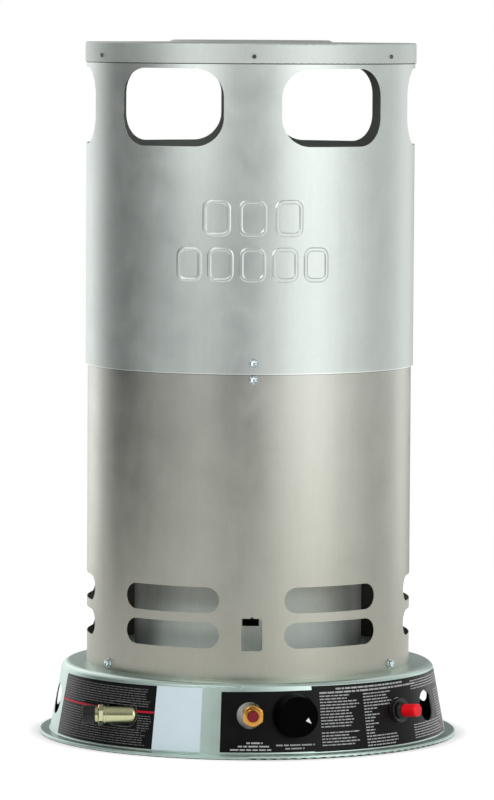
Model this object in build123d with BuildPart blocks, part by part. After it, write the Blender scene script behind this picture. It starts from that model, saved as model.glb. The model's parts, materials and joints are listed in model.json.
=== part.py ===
from build123d import *
import os
from math import asin, cos, degrees, radians, sin, sqrt, tan

# A floor-standing propane convection heater. A stamped pan holds the gas controls, and carries a two-piece
# outer shell round an open combustion chamber, with a lid on top. Millimetres, +Z up. The controls face -Y,
# and the origin is on the floor, on the axis of the shell. Azimuths are degrees from the front, positive
# towards +X. On a control's own axis, "reach" is the distance from the shell's axis.

# ---------------------------------------------------------------- driving dimensions

# Fits and clearances
slip = 0.2              # radial, between sheets that slide over each other
hem_slip = 0.3          # radial, between a folded hem and the sheet inside it
running = 0.05          # radial, round a shaft, a plunger or a screwed-in spigot
screw_clearance = 0.1   # radial, round a screw's shank
stop_gap = 0.3          # between a stop and what it stops
wall_gap = 0.7          # between the pan's wall and a control that passes in front of it

# Base pan
pan_height = 75.0           # shoulder that the lower shell stands on
plateau_rise = 13.0         # raised middle of the pan, inside the shell
pan_sheet = 1.0
lip_ledge = 10.9            # from the wall's foot out to the edge of the lip
lip_width = 7.0
lip_height = 4.0
lip_round = 1.8
wall_flare = 36.0           # from the shell out to where the leaning wall would meet the top of the lip
wall_lean = 10.4            # degrees from upright
shoulder_round = 8.0
foot_round = 2.0
plateau_round = 3.5
spigot_root_round = 0.6
vent_radius = 16.0
vent_height = 38.0
vent_azimuths = (-100.0, -80.0, 67.0, 113.0)

# Outer shells
shell_sheet = 0.9
upper_shell_radius = 170.6
seam_height = 385.5         # lower edge of the upper shell
shell_overlap = 20.0
hem_height = 12.0
hem_round = 0.8

# Large hot-air openings near the top
outlet_half_angle = 20.1
outlet_height = 78.8
outlet_centre_drop = 65.2   # below the lid's top
outlet_corner = 29.0
outlet_offset = 0.8
openings_per_turn = 6

# Air slots in the lower shell
slot_half_angle = 18.7
slot_height = 26.5
slot_centre_rises = (31.7, 67.6)    # above the plateau
slot_offset = 1.35
rear_slot_azimuth = 26.9    # of the two groups beside the back seam, counted from the back

# Sight window in the lower shell, and the lighting hole behind it
window_azimuth = 1.4
window_width = 21.3
window_height = 33.1
window_sill_rise = 16.5     # above the plateau
window_chamfer = 2.0
window_notch = 1.5
lighting_hole_width = 17.0
lighting_hole_height = 28.0
lighting_hole_rise = 36.3   # above the plateau

# Lid
cap_top = 720.0
cap_sheet = 1.0
cap_rim_height = 20.7
cap_edge_round = 0.4
cap_round = 2.0
dome_radius = 86.0
dome_rise = 2.4
dome_slope_width = 5.0

# Combustion chamber and what holds it
chamber_air_gap = 49.9      # from the lower shell in to the chamber
chamber_sheet = 0.9
chamber_lift = 6.0          # above the plateau
chamber_headroom = 130.0    # below the lid's top
bracket_sheet = 1.5
bracket_bend = 2.5
strap_width = 20.0
foot_length = 22.0
foot_upright = 26.0
foot_azimuth = 12.5
stay_azimuth = 1.5
stay_drop = 13.0            # below the seam
stay_chamber_tab = 22.0
stay_shell_tab = 31.0
chamber_screw_drop = 11.0   # from the stay's web down to its screw
foot_screw_rise = 16.0      # from the plateau up to the foot's upright screw
foot_screw_shift = 1.0      # from the middle of a bracket's flat foot, away from its bend

# Screws
washer_radius = 4.75
washer_thickness = 0.8
hex_head_width = 6.4
hex_head_height = 3.0
hex_chamfer = 0.8
shank_radius = 2.0
shank_beyond = 5.0          # how far a shank passes what it holds
seam_screw_above = 11.7
seam_screw_below = 5.1
base_screw_azimuths = (-58.0, 60.1, 180.0)
base_screw_drop = 6.0       # below the plateau
cap_screw_azimuths = (-120.0, -62.7, 1.1, 56.4, 120.0, 180.0)
cap_screw_drop = 13.6       # below the lid's top
cap_screw_head_radius = 2.2
cap_screw_head_height = 1.4
cap_screw_head_round = 0.9
cap_screw_shank_radius = 1.7

# Reach of the cutters either side of the sheet they pierce
hole_depth = 8.0
wall_hole_depth = 12.0      # through the leaning wall
plateau_hole_depth = 3.0
window_depth = 20.0         # through a shell, over the full width of an opening

# Burner
mixer_wall = 2.5
mixer_mouth_radius = 26.0
mixer_mouth_drop = 52.0     # this and the next three are below the plateau
mixer_throat_bottom_drop = 38.0
mixer_throat_top_drop = 28.0
mixer_neck_bottom_drop = 6.0
mixer_throat_radius = 14.0
mixer_neck_radius = 20.0
mixer_neck_rise = 24.0      # above the plateau
mixer_flange_edge = 8.0     # outside the circle of its bolts
mixer_flange_thickness = 3.0
mixer_bend = 8.0
burner_bolt_circle_radius = 34.0
burner_bolt_radius = 2.5
burner_bolt_head_width = 8.0
burner_bolt_head_height = 4.0
head_radius = 58.0
head_wall = 4.0
head_socket_depth = 12.0
head_socket_wall = 5.6
head_floor_rise = 11.0
head_height = 38.0
port_radius = 2.6
port_count = 24
port_rise = 22.0            # above the top of the mixer tube
spreader_overhang = 4.0     # past the burner head
spreader_slope_width = 14.0
spreader_rise = 70.0        # above the top of the mixer tube
spreader_droop = 6.0
spreader_sheet = 2.0
spreader_bend = 6.0
spreader_leg_radius = 2.5
spreader_leg_circle_radius = 40.0
spreader_leg_depth = 3.0
legs_per_spreader = 3

# Jet under the mixer tube
jet_bracket_half_span = 46.0
jet_bracket_foot = 14.0
jet_bracket_bar_height = 5.0
jet_bracket_width = 24.0
jet_bracket_sheet = 2.0
jet_bracket_bend = 3.0
holder_size = 16.0
holder_chamfer = 1.5
holder_stud_radius = 3.0
holder_stud_beyond = 1.0    # below its nut
holder_nut_height = 2.6
holder_nut_width = 11.0
jet_hex_width = 12.0
jet_hex_height = 6.0
jet_nose_radius = 4.0
jet_nose_height = 5.0
jet_thread_radius = 3.0
jet_thread_length = 5.0
jet_bore_radius = 0.9
jet_nose_chamfer = 1.5

# Gas line from valve to jet
line_radius = 4.0
line_wall = 1.0
line_bend = 18.0
line_nut_width = 14.0
line_nut_length = 12.0
line_out_x = 34.0
line_out_drop = 7.5         # below the valve's axes
line_out_run = 43.0         # straight behind the valve
line_turn_reach = 56.0      # where it turns towards the jet

# Valve body and its bracket
valve_height = 43.5         # height of the safety button's and the knob's axes
valve_left = -24.0
valve_right = 60.0
valve_depth = 26.0
valve_block_height = 31.0
valve_setback = 37.9        # from the pan's wall in to the middle of the block
valve_round = 4.0
button_x = 5.8
safety_boss_radius = 12.0
bracket_setback = 11.9      # from the pan's wall in to the upright plate's back face
bracket_width = 51.0
bracket_below = 25.5        # below and above the valve's axes
bracket_above = 21.0
bracket_shelf_depth = 30.0
bracket_foot_length = 20.0

# Safety bonnet and its button
safety_hole_shift = 3.1     # the hole in the wall stands left of the bonnet
safety_hole_drop = 0.5
safety_hole_radius = 13.6
neck_radius = 8.0
neck_depth = 10.0           # screwed into the boss
bonnet_hex_width = 20.5
bonnet_hex_thickness = 7.0
bonnet_collar_radius = 6.75
bonnet_collar_height = 2.0
lock_nut_width = 18.5
lock_nut_thickness = 3.0
safety_head_radius = 5.3
safety_head_length = 10.0
safety_head_round = 1.0
safety_proud = 3.2
safety_travel = 3.0
safety_stem_radius = 2.4
safety_clip_radius = 3.6
safety_clip_thickness = 2.0
safety_cavity_radius = 4.5
safety_spring_room = 12.0
safety_stem_tail = 2.0      # behind the clip
end_play = 1.0              # left behind a plunger that is pressed home

# Control knob and its stem
knob_azimuth = 13.6
control_boss_radius = 11.0
control_boss_setback = 9.9  # from the pan's wall in to the boss's end
stem_radius = 4.0
stem_hole_radius = 8.0
knob_radius = 22.3
knob_depth = 16.5
knob_taper = 6.0
knob_round = 1.6
knob_skirt_wall = 2.6
knob_hub_radius = 7.5
knob_hollow_depth = 11.0
knob_bore_depth = 12.0
knob_gap = 1.1              # off the leaning wall, at the knob's lower edge

# Gas inlet. Its x positions count from where its axis meets the wall, outward.
inlet_setback = 38.9        # from the pan's wall in to the axis, at the middle of the front
inlet_drop = 5.5            # below the valve's axes
inlet_hole_width = 42.0     # longer than high, because the inlet passes the wall obliquely
inlet_hole_height = 25.0
inlet_hole_shift = 3.6      # degrees that the hole's middle lies outward of the axis
inlet_tube_radius = 3.0
inlet_tube_wall = 1.0
adapter_radius = 8.7
adapter_inside = 6.7        # how far its rounded end passes inward
adapter_end_round = 5.0
adapter_socket_depth = 8.0
adapter_shoulder = 25.2
adapter_ring_radius = 9.3
adapter_ring_width = 2.0
adapter_groove_width = 0.6
inlet_hex_width = 18.0
inlet_hex_thickness = 5.1
inlet_neck_radius = 8.1
inlet_neck_length = 3.0
inlet_stub_radius = 7.4
inlet_stub_length = 11.0
inlet_bore_radius = 2.5
dust_cap_radius = 9.65
dust_cap_length = 12.6
dust_cap_end = 1.4
dust_cap_round = 1.0
dust_cap_gap = 0.3

# Igniter
igniter_azimuth = 50.5
igniter_height = 39.6
igniter_rise = 5.0          # degrees that its axis points up
igniter_body_radius = 9.0
igniter_body_length = 42.0
igniter_flange_radius = 11.0
igniter_flange_thickness = 3.0
igniter_setback = 3.0       # flange behind the wall's outer face
bushing_radius = 8.0
bushing_length = 9.0
bushing_hole_clearance = 0.3
igniter_nut_radius = 12.5
igniter_nut_thickness = 4.5
igniter_terminal_radius = 3.0
igniter_terminal_length = 7.0
igniter_button_radius = 6.6
igniter_button_proud = 17.0
igniter_button_sunk = 23.0
igniter_button_round = 1.5
igniter_travel = 7.0

# Spark electrode and thermocouple beside the burner
probe_gap = 14.0            # from the burner head's edge out to the probes' axes
probe_spacing = 16.0
probe_bottom_rise = 8.0     # rises are above the plateau
probe_shoulder_height = 3.5
insulator_radius = 4.0
insulator_shoulder_radius = 5.5
insulator_top_rise = 38.0
spark_rod_radius = 1.2
spark_rod_bottom_rise = 11.0
spark_rod_knee_rise = 46.0
spark_gap = 3.0             # from the rod's end to the burner head
spark_rod_end_rise = 52.0
spark_rod_bend = 4.0
thermocouple_radius = 3.0
thermocouple_top_rise = 44.0
thermocouple_shoulder_radius = 4.5
pilot_upright_out = 8.0     # outward of the probes
pilot_foot_out = 23.0
pilot_tab_in = 8.0          # inward of the probes
pilot_tab_rise = 20.0
pilot_width = 34.0
spark_wire_radius = 2.0
spark_wire_low_out = 28.0
spark_wire_turn_drop = 30.0     # drops are below the plateau
spark_wire_bend = 20.0
lead_radius = 1.2
lead_turn_drop = 36.0
lead_straight = 35.0        # straight run behind the valve
lead_bends = (20.0, 30.0)
lead_nut_width = 9.0
lead_nut_length = 9.0
grommet_radius = 6.5
grommet_hole_radius = 5.0
grommet_lip = 1.4

# ---------------------------------------------------------------- derived places

plateau_height = pan_height + plateau_rise
wall_foot_radius = upper_shell_radius + wall_flare
lip_radius = wall_foot_radius + lip_ledge
outlet_centre_height = cap_top - outlet_centre_drop
slot_centre_heights = [plateau_height + rise for rise in slot_centre_rises]
window_middle = plateau_height + window_sill_rise + window_height / 2
lighting_hole_middle = plateau_height + lighting_hole_rise + lighting_hole_height / 2
cap_screw_height = cap_top - cap_screw_drop
chamber_bottom = plateau_height + chamber_lift
chamber_top = cap_top - chamber_headroom
base_screw_height = plateau_height - base_screw_drop
stay_height = seam_height - stay_drop
mixer_top = plateau_height + mixer_neck_rise
mixer_flange_radius = burner_bolt_circle_radius + mixer_flange_edge
port_height = mixer_top + port_rise
spreader_radius = head_radius + spreader_overhang
spreader_flat_radius = spreader_radius - spreader_slope_width
spreader_height = mixer_top + spreader_rise
inlet_height = valve_height - inlet_drop
line_out_height = valve_height - line_out_drop
probe_circle = head_radius + probe_gap
probe_bottom = plateau_height + probe_bottom_rise
pilot_upright_radius = probe_circle + pilot_upright_out
pilot_foot_radius = probe_circle + pilot_foot_out
pilot_tab_height = plateau_height + pilot_tab_rise

stays_per_turn = 3
third_turn = 360.0 / stays_per_turn
lower_shell_radius = upper_shell_radius - 2 * shell_sheet - hem_slip
lower_shell_top = seam_height + shell_overlap
upper_shell_top = cap_top - cap_round
cap_radius = upper_shell_radius + slip + cap_sheet
spigot_radius = lower_shell_radius - shell_sheet - slip
chamber_radius = lower_shell_radius - chamber_air_gap
plateau_under = plateau_height - pan_sheet
wall_slope = tan(radians(wall_lean))

seam_screw_heights = (seam_height + seam_screw_above, seam_height - seam_screw_below)
stay_azimuths = [stay_azimuth + third_turn * turn for turn in range(stays_per_turn)]
foot_azimuths = [foot_azimuth + third_turn * turn for turn in range(stays_per_turn)]
stay_screw_height = stay_height - chamber_screw_drop
foot_screw_height = plateau_height + foot_screw_rise
foot_pan_screw_radius = chamber_radius + bracket_sheet + foot_length / 2 + foot_screw_shift

sixth_turn = 360.0 / openings_per_turn
outlet_azimuths = [outlet_offset + sixth_turn * (turn + 0.5) for turn in range(openings_per_turn)]
slot_azimuths = [slot_offset + sixth_turn * (turn + 0.5) for turn in range(-2, 2)]
slot_azimuths += [180 - rear_slot_azimuth, 180 + rear_slot_azimuth]
outlet_width = 2 * upper_shell_radius * sin(radians(outlet_half_angle))
slot_width = 2 * lower_shell_radius * sin(radians(slot_half_angle))


def wall_radius(height):
    """Radius of the pan's leaning wall, on its outer face."""
    return wall_foot_radius - (height - lip_height) * wall_slope


def radial(azimuth):
    """Unit vector outward at an azimuth."""
    return Vector(sin(radians(azimuth)), -cos(radians(azimuth)), 0)


def side_plane(azimuth, reach, height, rise=0.0):
    """Plane that faces outward at an azimuth, tipped up by rise degrees."""
    normal = radial(azimuth) * cos(radians(rise)) + Vector(0, 0, sin(radians(rise)))
    origin = radial(azimuth) * reach + Vector(0, 0, height)
    return Plane(origin=origin, x_dir=radial(azimuth + 90), z_dir=normal)


def section_plane(azimuth, across=0.0):
    """Upright plane through the axis: its x runs outward at the azimuth and its y runs up."""
    return Plane(
        origin=radial(azimuth + 90) * across,
        x_dir=radial(azimuth),
        z_dir=radial(azimuth).cross(Vector(0, 0, 1)),
    )


def front_plane(x, reach, height):
    """Plane that faces -Y."""
    return Plane(origin=(x, -reach, height), x_dir=(1, 0, 0), z_dir=(0, -1, 0))


def inlet_plane(x):
    """Plane that faces -X on the gas inlet's axis."""
    return Plane(origin=(x, -inlet_reach, inlet_height), x_dir=(0, -1, 0), z_dir=(-1, 0, 0))


def upright(place, height):
    """Plane that faces up over a place on the pan's plateau."""
    return Plane(origin=(place.X, place.Y, height))


def disc(plane, radius, length, mode=Mode.ADD):
    """Add a cylinder to the part being built, or cut it, from a plane along its normal."""
    with BuildSketch(plane) as outline:
        Circle(radius)
    extrude(outline.sketch, amount=length, mode=mode)


def hexagon(plane, width_across_flats, length, rotation=0.0):
    """Add a hexagonal prism to the part being built."""
    with BuildSketch(plane) as outline:
        RegularPolygon(width_across_flats / 2, 6, major_radius=False, rotation=rotation)
    extrude(outline.sketch, amount=length)


def hex_screw(seat, shank_length):
    """Add a hex washer-head screw: the washer seats on the plane and the shank runs behind it."""
    disc(seat, washer_radius, washer_thickness)
    hexagon(seat, hex_head_width, washer_thickness + hex_head_height)
    disc(seat, shank_radius, -shank_length)


def round_holes(planes, radius=shank_radius + screw_clearance, depth=hole_depth):
    """Cut round holes through the sheet at each plane; a screw's clearance hole unless a radius is given."""
    with BuildSketch(*planes) as holes:
        Circle(radius)
    extrude(holes.sketch, amount=depth, both=True, mode=Mode.SUBTRACT)


def finish(built, label):
    """Name a piece and write it."""
    built.part.label = label
    export_step(built.part, f"parts/{label}.step")


os.makedirs("parts", exist_ok=True)

# Reaches of the valve, its bracket, the knob and the inlet, from the pan's wall
wall_at_valve = wall_radius(valve_height)
valve_centre_reach = wall_at_valve - valve_setback
bracket_reach = wall_at_valve - bracket_setback
bracket_riser_reach = bracket_reach - bracket_shelf_depth
control_boss_reach = wall_at_valve - control_boss_setback
knob_back_reach = wall_radius(valve_height - knob_radius) + knob_gap
inlet_reach = wall_radius(inlet_height) - inlet_setback
inlet_wall_x = -sqrt(wall_radius(inlet_height) ** 2 - inlet_reach ** 2)
inlet_hole_azimuth = degrees(asin(inlet_wall_x / wall_radius(inlet_height))) - inlet_hole_shift

# Seats of the screws, shared by the screws and by their holes
upper_seam_seats = [side_plane(a, upper_shell_radius, seam_screw_heights[0]) for a in stay_azimuths]
lower_seam_seats = [side_plane(a, lower_shell_radius, seam_screw_heights[1]) for a in stay_azimuths]
base_screw_seats = [side_plane(a, lower_shell_radius, base_screw_height) for a in base_screw_azimuths]
cap_screw_seats = [side_plane(a, cap_radius, cap_screw_height) for a in cap_screw_azimuths]
chamber_tab_face = chamber_radius + slip / 2 + bracket_sheet
stay_screw_seats = [side_plane(a, chamber_tab_face, stay_screw_height) for a in stay_azimuths]
foot_screw_seats = [side_plane(a, chamber_tab_face, foot_screw_height) for a in foot_azimuths]

bracket_screw_reach = bracket_riser_reach - bracket_foot_length / 2
bracket_screw_spread = bracket_width / 4
jet_screw_x = jet_bracket_half_span + jet_bracket_foot / 2 + foot_screw_shift
pilot_screw_radius = (pilot_upright_radius + pilot_foot_radius) / 2 + foot_screw_shift
pilot_middle = radial(igniter_azimuth + 90) * (-probe_spacing / 2)
pilot_screw_place = radial(igniter_azimuth) * pilot_screw_radius + pilot_middle
under_screw_places = [
    (button_x - bracket_screw_spread, -bracket_screw_reach),
    (button_x + bracket_screw_spread, -bracket_screw_reach),
    (-jet_screw_x, 0),
    (jet_screw_x, 0),
]
foot_screw_places = [radial(a) * foot_pan_screw_radius for a in foot_azimuths]
top_screw_places = [(p.X, p.Y) for p in foot_screw_places + [pilot_screw_place]]

electrode_place = radial(igniter_azimuth) * probe_circle
thermocouple_place = electrode_place - radial(igniter_azimuth + 90) * probe_spacing

igniter_seat = side_plane(igniter_azimuth, wall_radius(igniter_height), igniter_height, igniter_rise)


def on_igniter(distance):
    """Plane across the igniter's axis, at a distance outward from the pan's wall."""
    return igniter_seat.offset(distance)


# ---------------------------------------------------------------- base pan

mixer_outer = mixer_neck_radius + mixer_wall / 2
half_sheet = pan_sheet / 2
wall_half_sheet = half_sheet / cos(radians(wall_lean))

with BuildPart() as base_pan:
    with BuildSketch(Plane.XZ) as pan_profile:
        with BuildLine() as pan_middle:
            FilletPolyline(
                (mixer_outer + slip, plateau_height - half_sheet),
                (spigot_radius - half_sheet, plateau_height - half_sheet),
                (spigot_radius - half_sheet, pan_height - half_sheet),
                (wall_radius(pan_height - half_sheet) - wall_half_sheet, pan_height - half_sheet),
                (wall_radius(lip_height - half_sheet) - wall_half_sheet, lip_height - half_sheet),
                (lip_radius - lip_width / 2, lip_height - half_sheet),
                radius=[plateau_round, spigot_root_round, shoulder_round, foot_round],
            )
        trace(line_width=pan_sheet)
        with BuildSketch(Plane.XY, mode=Mode.PRIVATE) as lip:
            with Locations((lip_radius - lip_width / 2, lip_height / 2)):
                Rectangle(lip_width, lip_height)
            fillet(lip.vertices().sort_by(Axis.X)[-2:], radius=lip_round)
        add(lip.sketch)
    revolve(axis=Axis.Z)
    vents = [side_plane(a, wall_radius(vent_height), vent_height, wall_lean) for a in vent_azimuths]
    round_holes(vents, radius=vent_radius, depth=wall_hole_depth)
    with BuildSketch(side_plane(inlet_hole_azimuth, wall_radius(inlet_height), inlet_height, wall_lean)):
        SlotOverall(inlet_hole_width, inlet_hole_height)
    extrude(amount=wall_hole_depth, both=True, mode=Mode.SUBTRACT)
    safety_hole_height = valve_height - safety_hole_drop
    safety_hole_x = button_x - safety_hole_shift
    safety_hole = front_plane(safety_hole_x, wall_radius(safety_hole_height), safety_hole_height)
    round_holes([safety_hole], radius=safety_hole_radius)
    round_holes([side_plane(knob_azimuth, wall_radius(valve_height), valve_height)], stem_hole_radius)
    round_holes([igniter_seat], bushing_radius + bushing_hole_clearance)
    round_holes(base_screw_seats)
    screw_places = [Plane(origin=(*place, plateau_height)) for place in under_screw_places + top_screw_places]
    round_holes(screw_places, depth=plateau_hole_depth)
    with BuildSketch(Plane.XY.offset(plateau_height)) as burner_holes:
        with PolarLocations(burner_bolt_circle_radius, 3):
            Circle(burner_bolt_radius + screw_clearance)
        with Locations((electrode_place.X, electrode_place.Y), (thermocouple_place.X, thermocouple_place.Y)):
            Circle(grommet_hole_radius)
    extrude(burner_holes.sketch, amount=plateau_hole_depth, both=True, mode=Mode.SUBTRACT)
finish(base_pan, "base_pan")

# ---------------------------------------------------------------- outer shells

with BuildPart() as lower_shell:
    with BuildSketch(Plane.XY.offset(pan_height)):
        Circle(lower_shell_radius)
        Circle(lower_shell_radius - shell_sheet, mode=Mode.SUBTRACT)
    extrude(amount=lower_shell_top - pan_height)
    for height in slot_centre_heights:
        with BuildSketch(*[side_plane(a, lower_shell_radius, height) for a in slot_azimuths]):
            SlotOverall(slot_width, slot_height)
        extrude(amount=-window_depth, mode=Mode.SUBTRACT)
    with BuildSketch(side_plane(window_azimuth, lower_shell_radius, window_middle)) as window:
        Rectangle(window_width, window_height)
        chamfer(window.vertices().sort_by(Axis.Z)[:2], length=window_chamfer)
        with Locations((0, window_height / 2)):
            Circle(window_notch)
    extrude(amount=-window_depth, mode=Mode.SUBTRACT)
    round_holes(lower_seam_seats)
    round_holes([side_plane(a, lower_shell_radius, seam_screw_heights[0]) for a in stay_azimuths])
    round_holes(base_screw_seats)
finish(lower_shell, "lower_shell")

with BuildPart() as upper_shell:
    with BuildSketch(Plane.XY.offset(seam_height)):
        Circle(upper_shell_radius)
        Circle(upper_shell_radius - shell_sheet, mode=Mode.SUBTRACT)
    extrude(amount=upper_shell_top - seam_height)
    with BuildSketch(Plane.XY.offset(seam_height)):
        Circle(upper_shell_radius)
        Circle(upper_shell_radius - 2 * shell_sheet, mode=Mode.SUBTRACT)
    extrude(amount=hem_height)
    fillet(upper_shell.edges().group_by(Axis.Z)[0], radius=hem_round)
    with BuildSketch(*[side_plane(a, upper_shell_radius, outlet_centre_height) for a in outlet_azimuths]):
        RectangleRounded(outlet_width, outlet_height, outlet_corner)
    extrude(amount=-window_depth, mode=Mode.SUBTRACT)
    round_holes(upper_seam_seats)
    round_holes(cap_screw_seats, radius=cap_screw_shank_radius + screw_clearance)
finish(upper_shell, "upper_shell")

# ---------------------------------------------------------------- lid

with BuildPart() as top_cap:
    cap_half = cap_sheet / 2
    with BuildSketch(Plane.XZ):
        with BuildLine():
            FilletPolyline(
                (0, cap_top + dome_rise - cap_half),
                (dome_radius - dome_slope_width, cap_top + dome_rise - cap_half),
                (dome_radius, cap_top - cap_half),
                (cap_radius - cap_half, cap_top - cap_half),
                (cap_radius - cap_half, cap_top - cap_rim_height),
                radius=[cap_round, cap_round, cap_round - cap_half],
            )
        trace(line_width=cap_sheet)
    revolve(axis=Axis.Z)
    fillet(top_cap.edges().group_by(Axis.Z)[0], radius=cap_edge_round)
    round_holes(cap_screw_seats, radius=cap_screw_shank_radius + screw_clearance)
finish(top_cap, "top_cap")

with BuildPart() as cap_screws:
    for seat in cap_screw_seats:
        disc(seat, cap_screw_head_radius, cap_screw_head_height)
    head_faces = cap_screws.faces().filter_by(GeomType.PLANE).sort_by(lambda f: f.center().length)
    fillet([e for f in head_faces[-len(cap_screw_azimuths):] for e in f.edges()], radius=cap_screw_head_round)
    for seat in cap_screw_seats:
        disc(seat, cap_screw_shank_radius, -cap_sheet - slip - shell_sheet - shank_beyond / 2)
finish(cap_screws, "cap_screws")

# ---------------------------------------------------------------- combustion chamber

with BuildPart() as combustion_chamber:
    with BuildSketch(Plane.XY.offset(chamber_bottom)):
        Circle(chamber_radius)
        Circle(chamber_radius - chamber_sheet, mode=Mode.SUBTRACT)
    extrude(amount=chamber_top - chamber_bottom)
    with BuildSketch(side_plane(window_azimuth, chamber_radius, lighting_hole_middle)):
        Rectangle(lighting_hole_width, lighting_hole_height)
    extrude(amount=-window_depth, mode=Mode.SUBTRACT)
    round_holes(stay_screw_seats)
    round_holes(foot_screw_seats)
finish(combustion_chamber, "combustion_chamber")

tab_middle = chamber_radius + slip / 2 + bracket_sheet / 2
half_bracket = bracket_sheet / 2

with BuildPart() as chamber_feet:
    with BuildSketch(*[section_plane(a) for a in foot_azimuths]):
        with BuildLine():
            FilletPolyline(
                (tab_middle + foot_length, plateau_height + half_bracket),
                (tab_middle, plateau_height + half_bracket),
                (tab_middle, plateau_height + foot_upright),
                radius=bracket_bend,
            )
        trace(line_width=bracket_sheet)
    extrude(amount=strap_width / 2, both=True)
    round_holes(foot_screw_seats)
    round_holes([upright(p, plateau_height) for p in foot_screw_places])
finish(chamber_feet, "chamber_feet")

# A flat tab inside a round shell touches it at its two upright edges.
tab_reach = sqrt((lower_shell_radius - shell_sheet) ** 2 - (strap_width / 2) ** 2) - running

with BuildPart() as chamber_stays:
    with BuildSketch(*[section_plane(a) for a in stay_azimuths]):
        with BuildLine():
            FilletPolyline(
                (tab_middle, stay_height - stay_chamber_tab),
                (tab_middle, stay_height),
                (tab_reach - half_bracket, stay_height),
                (tab_reach - half_bracket, stay_height + stay_shell_tab),
                radius=bracket_bend,
            )
        trace(line_width=bracket_sheet)
    extrude(amount=strap_width / 2, both=True)
    round_holes(stay_screw_seats)
    round_holes(lower_seam_seats)
    round_holes([side_plane(a, lower_shell_radius, seam_screw_heights[0]) for a in stay_azimuths])
finish(chamber_stays, "chamber_stays")

# ---------------------------------------------------------------- sheet-metal screws

with BuildPart() as seam_screws:
    for seat in upper_seam_seats:
        hex_screw(seat, upper_shell_radius - tab_reach + bracket_sheet + shank_beyond)
    for seat in lower_seam_seats:
        hex_screw(seat, lower_shell_radius - tab_reach + bracket_sheet + shank_beyond)
finish(seam_screws, "seam_screws")

with BuildPart() as base_screws:
    for seat in base_screw_seats:
        hex_screw(seat, lower_shell_radius - spigot_radius + pan_sheet + shank_beyond)
finish(base_screws, "base_screws")

with BuildPart() as chamber_screws:
    for seat in stay_screw_seats + foot_screw_seats:
        hex_screw(seat, bracket_sheet + chamber_sheet + shank_beyond)
finish(chamber_screws, "chamber_screws")

with BuildPart() as pan_screws:
    for place in under_screw_places:
        hex_screw(Plane(origin=(*place, plateau_height)), pan_sheet + jet_bracket_sheet + shank_beyond)
    for place in top_screw_places:
        seat_height = plateau_height + bracket_sheet
        hex_screw(Plane(origin=(*place, seat_height)), bracket_sheet + pan_sheet + shank_beyond)
finish(pan_screws, "pan_screws")

# ---------------------------------------------------------------- burner

flange_top = plateau_height + mixer_flange_thickness

with BuildPart() as mixer_tube:
    with BuildSketch(Plane.XZ):
        with BuildLine():
            FilletPolyline(
                (mixer_mouth_radius, plateau_height - mixer_mouth_drop),
                (mixer_throat_radius, plateau_height - mixer_throat_bottom_drop),
                (mixer_throat_radius, plateau_height - mixer_throat_top_drop),
                (mixer_neck_radius, plateau_height - mixer_neck_bottom_drop),
                (mixer_neck_radius, mixer_top),
                radius=mixer_bend,
            )
        trace(line_width=mixer_wall)
        with Locations((mixer_neck_radius, plateau_height)):
            Rectangle(
                mixer_flange_radius - mixer_neck_radius, mixer_flange_thickness, align=(Align.MIN, Align.MIN)
            )
    revolve(axis=Axis.Z)
    with BuildSketch(Plane.XY.offset(plateau_height)):
        with PolarLocations(burner_bolt_circle_radius, 3):
            Circle(burner_bolt_radius + screw_clearance)
    extrude(amount=mixer_flange_thickness, mode=Mode.SUBTRACT)
finish(mixer_tube, "mixer_tube")

with BuildPart() as burner_bolts:
    with BuildSketch(Plane.XY.offset(flange_top)):
        with PolarLocations(burner_bolt_circle_radius, 3):
            RegularPolygon(burner_bolt_head_width / 2, 6, major_radius=False)
    extrude(amount=burner_bolt_head_height)
    with BuildSketch(Plane.XY.offset(flange_top)):
        with PolarLocations(burner_bolt_circle_radius, 3):
            Circle(burner_bolt_radius)
    extrude(amount=-mixer_flange_thickness - pan_sheet - shank_beyond)
finish(burner_bolts, "burner_bolts")

socket_radius = mixer_outer + running
socket_bottom = mixer_top - head_socket_depth
socket_roof = mixer_top + running
head_bore = mixer_neck_radius - mixer_wall / 2
head_rim_bottom = mixer_top + head_floor_rise
head_top = mixer_top + head_height
head_inner = head_radius - head_wall

with BuildPart() as burner_head:
    with BuildSketch(Plane.XZ):
        with BuildLine():
            Polyline(
                (socket_radius, socket_bottom),
                (socket_radius + head_socket_wall, socket_bottom),
                (socket_radius + head_socket_wall, mixer_top),
                (head_radius, head_rim_bottom),
                (head_radius, head_top),
                (0, head_top),
                (0, head_top - head_wall),
                (head_inner, head_top - head_wall),
                (head_inner, head_rim_bottom + head_wall),
                (head_bore, mixer_top + head_wall),
                (head_bore, socket_roof),
                (socket_radius, socket_roof),
                close=True,
            )
        make_face()
    revolve(axis=Axis.Z)
    fillet(burner_head.edges().group_by(Axis.Z)[-1], radius=head_wall / 2)
    ports = [side_plane(360.0 * n / port_count, head_radius, port_height) for n in range(port_count)]
    with BuildSketch(*ports):
        Circle(port_radius)
    extrude(amount=-2 * head_wall, mode=Mode.SUBTRACT)
    with BuildSketch(Plane.XY.offset(head_top)):
        with PolarLocations(spreader_leg_circle_radius, legs_per_spreader):
            Circle(spreader_leg_radius + running)
    extrude(amount=-spreader_leg_depth, mode=Mode.SUBTRACT)
finish(burner_head, "burner_head")

with BuildPart() as flame_spreader:
    with BuildSketch(Plane.XZ):
        with BuildLine():
            FilletPolyline(
                (0, spreader_height),
                (spreader_flat_radius, spreader_height),
                (spreader_radius, spreader_height - spreader_droop),
                radius=spreader_bend,
            )
        trace(line_width=spreader_sheet)
    revolve(axis=Axis.Z)
    with BuildSketch(Plane.XY.offset(head_top - spreader_leg_depth + running)):
        with PolarLocations(spreader_leg_circle_radius, legs_per_spreader):
            Circle(spreader_leg_radius)
    extrude(amount=spreader_height - head_top + spreader_leg_depth - running)
finish(flame_spreader, "flame_spreader")

# ---------------------------------------------------------------- jet and its bracket

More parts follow.
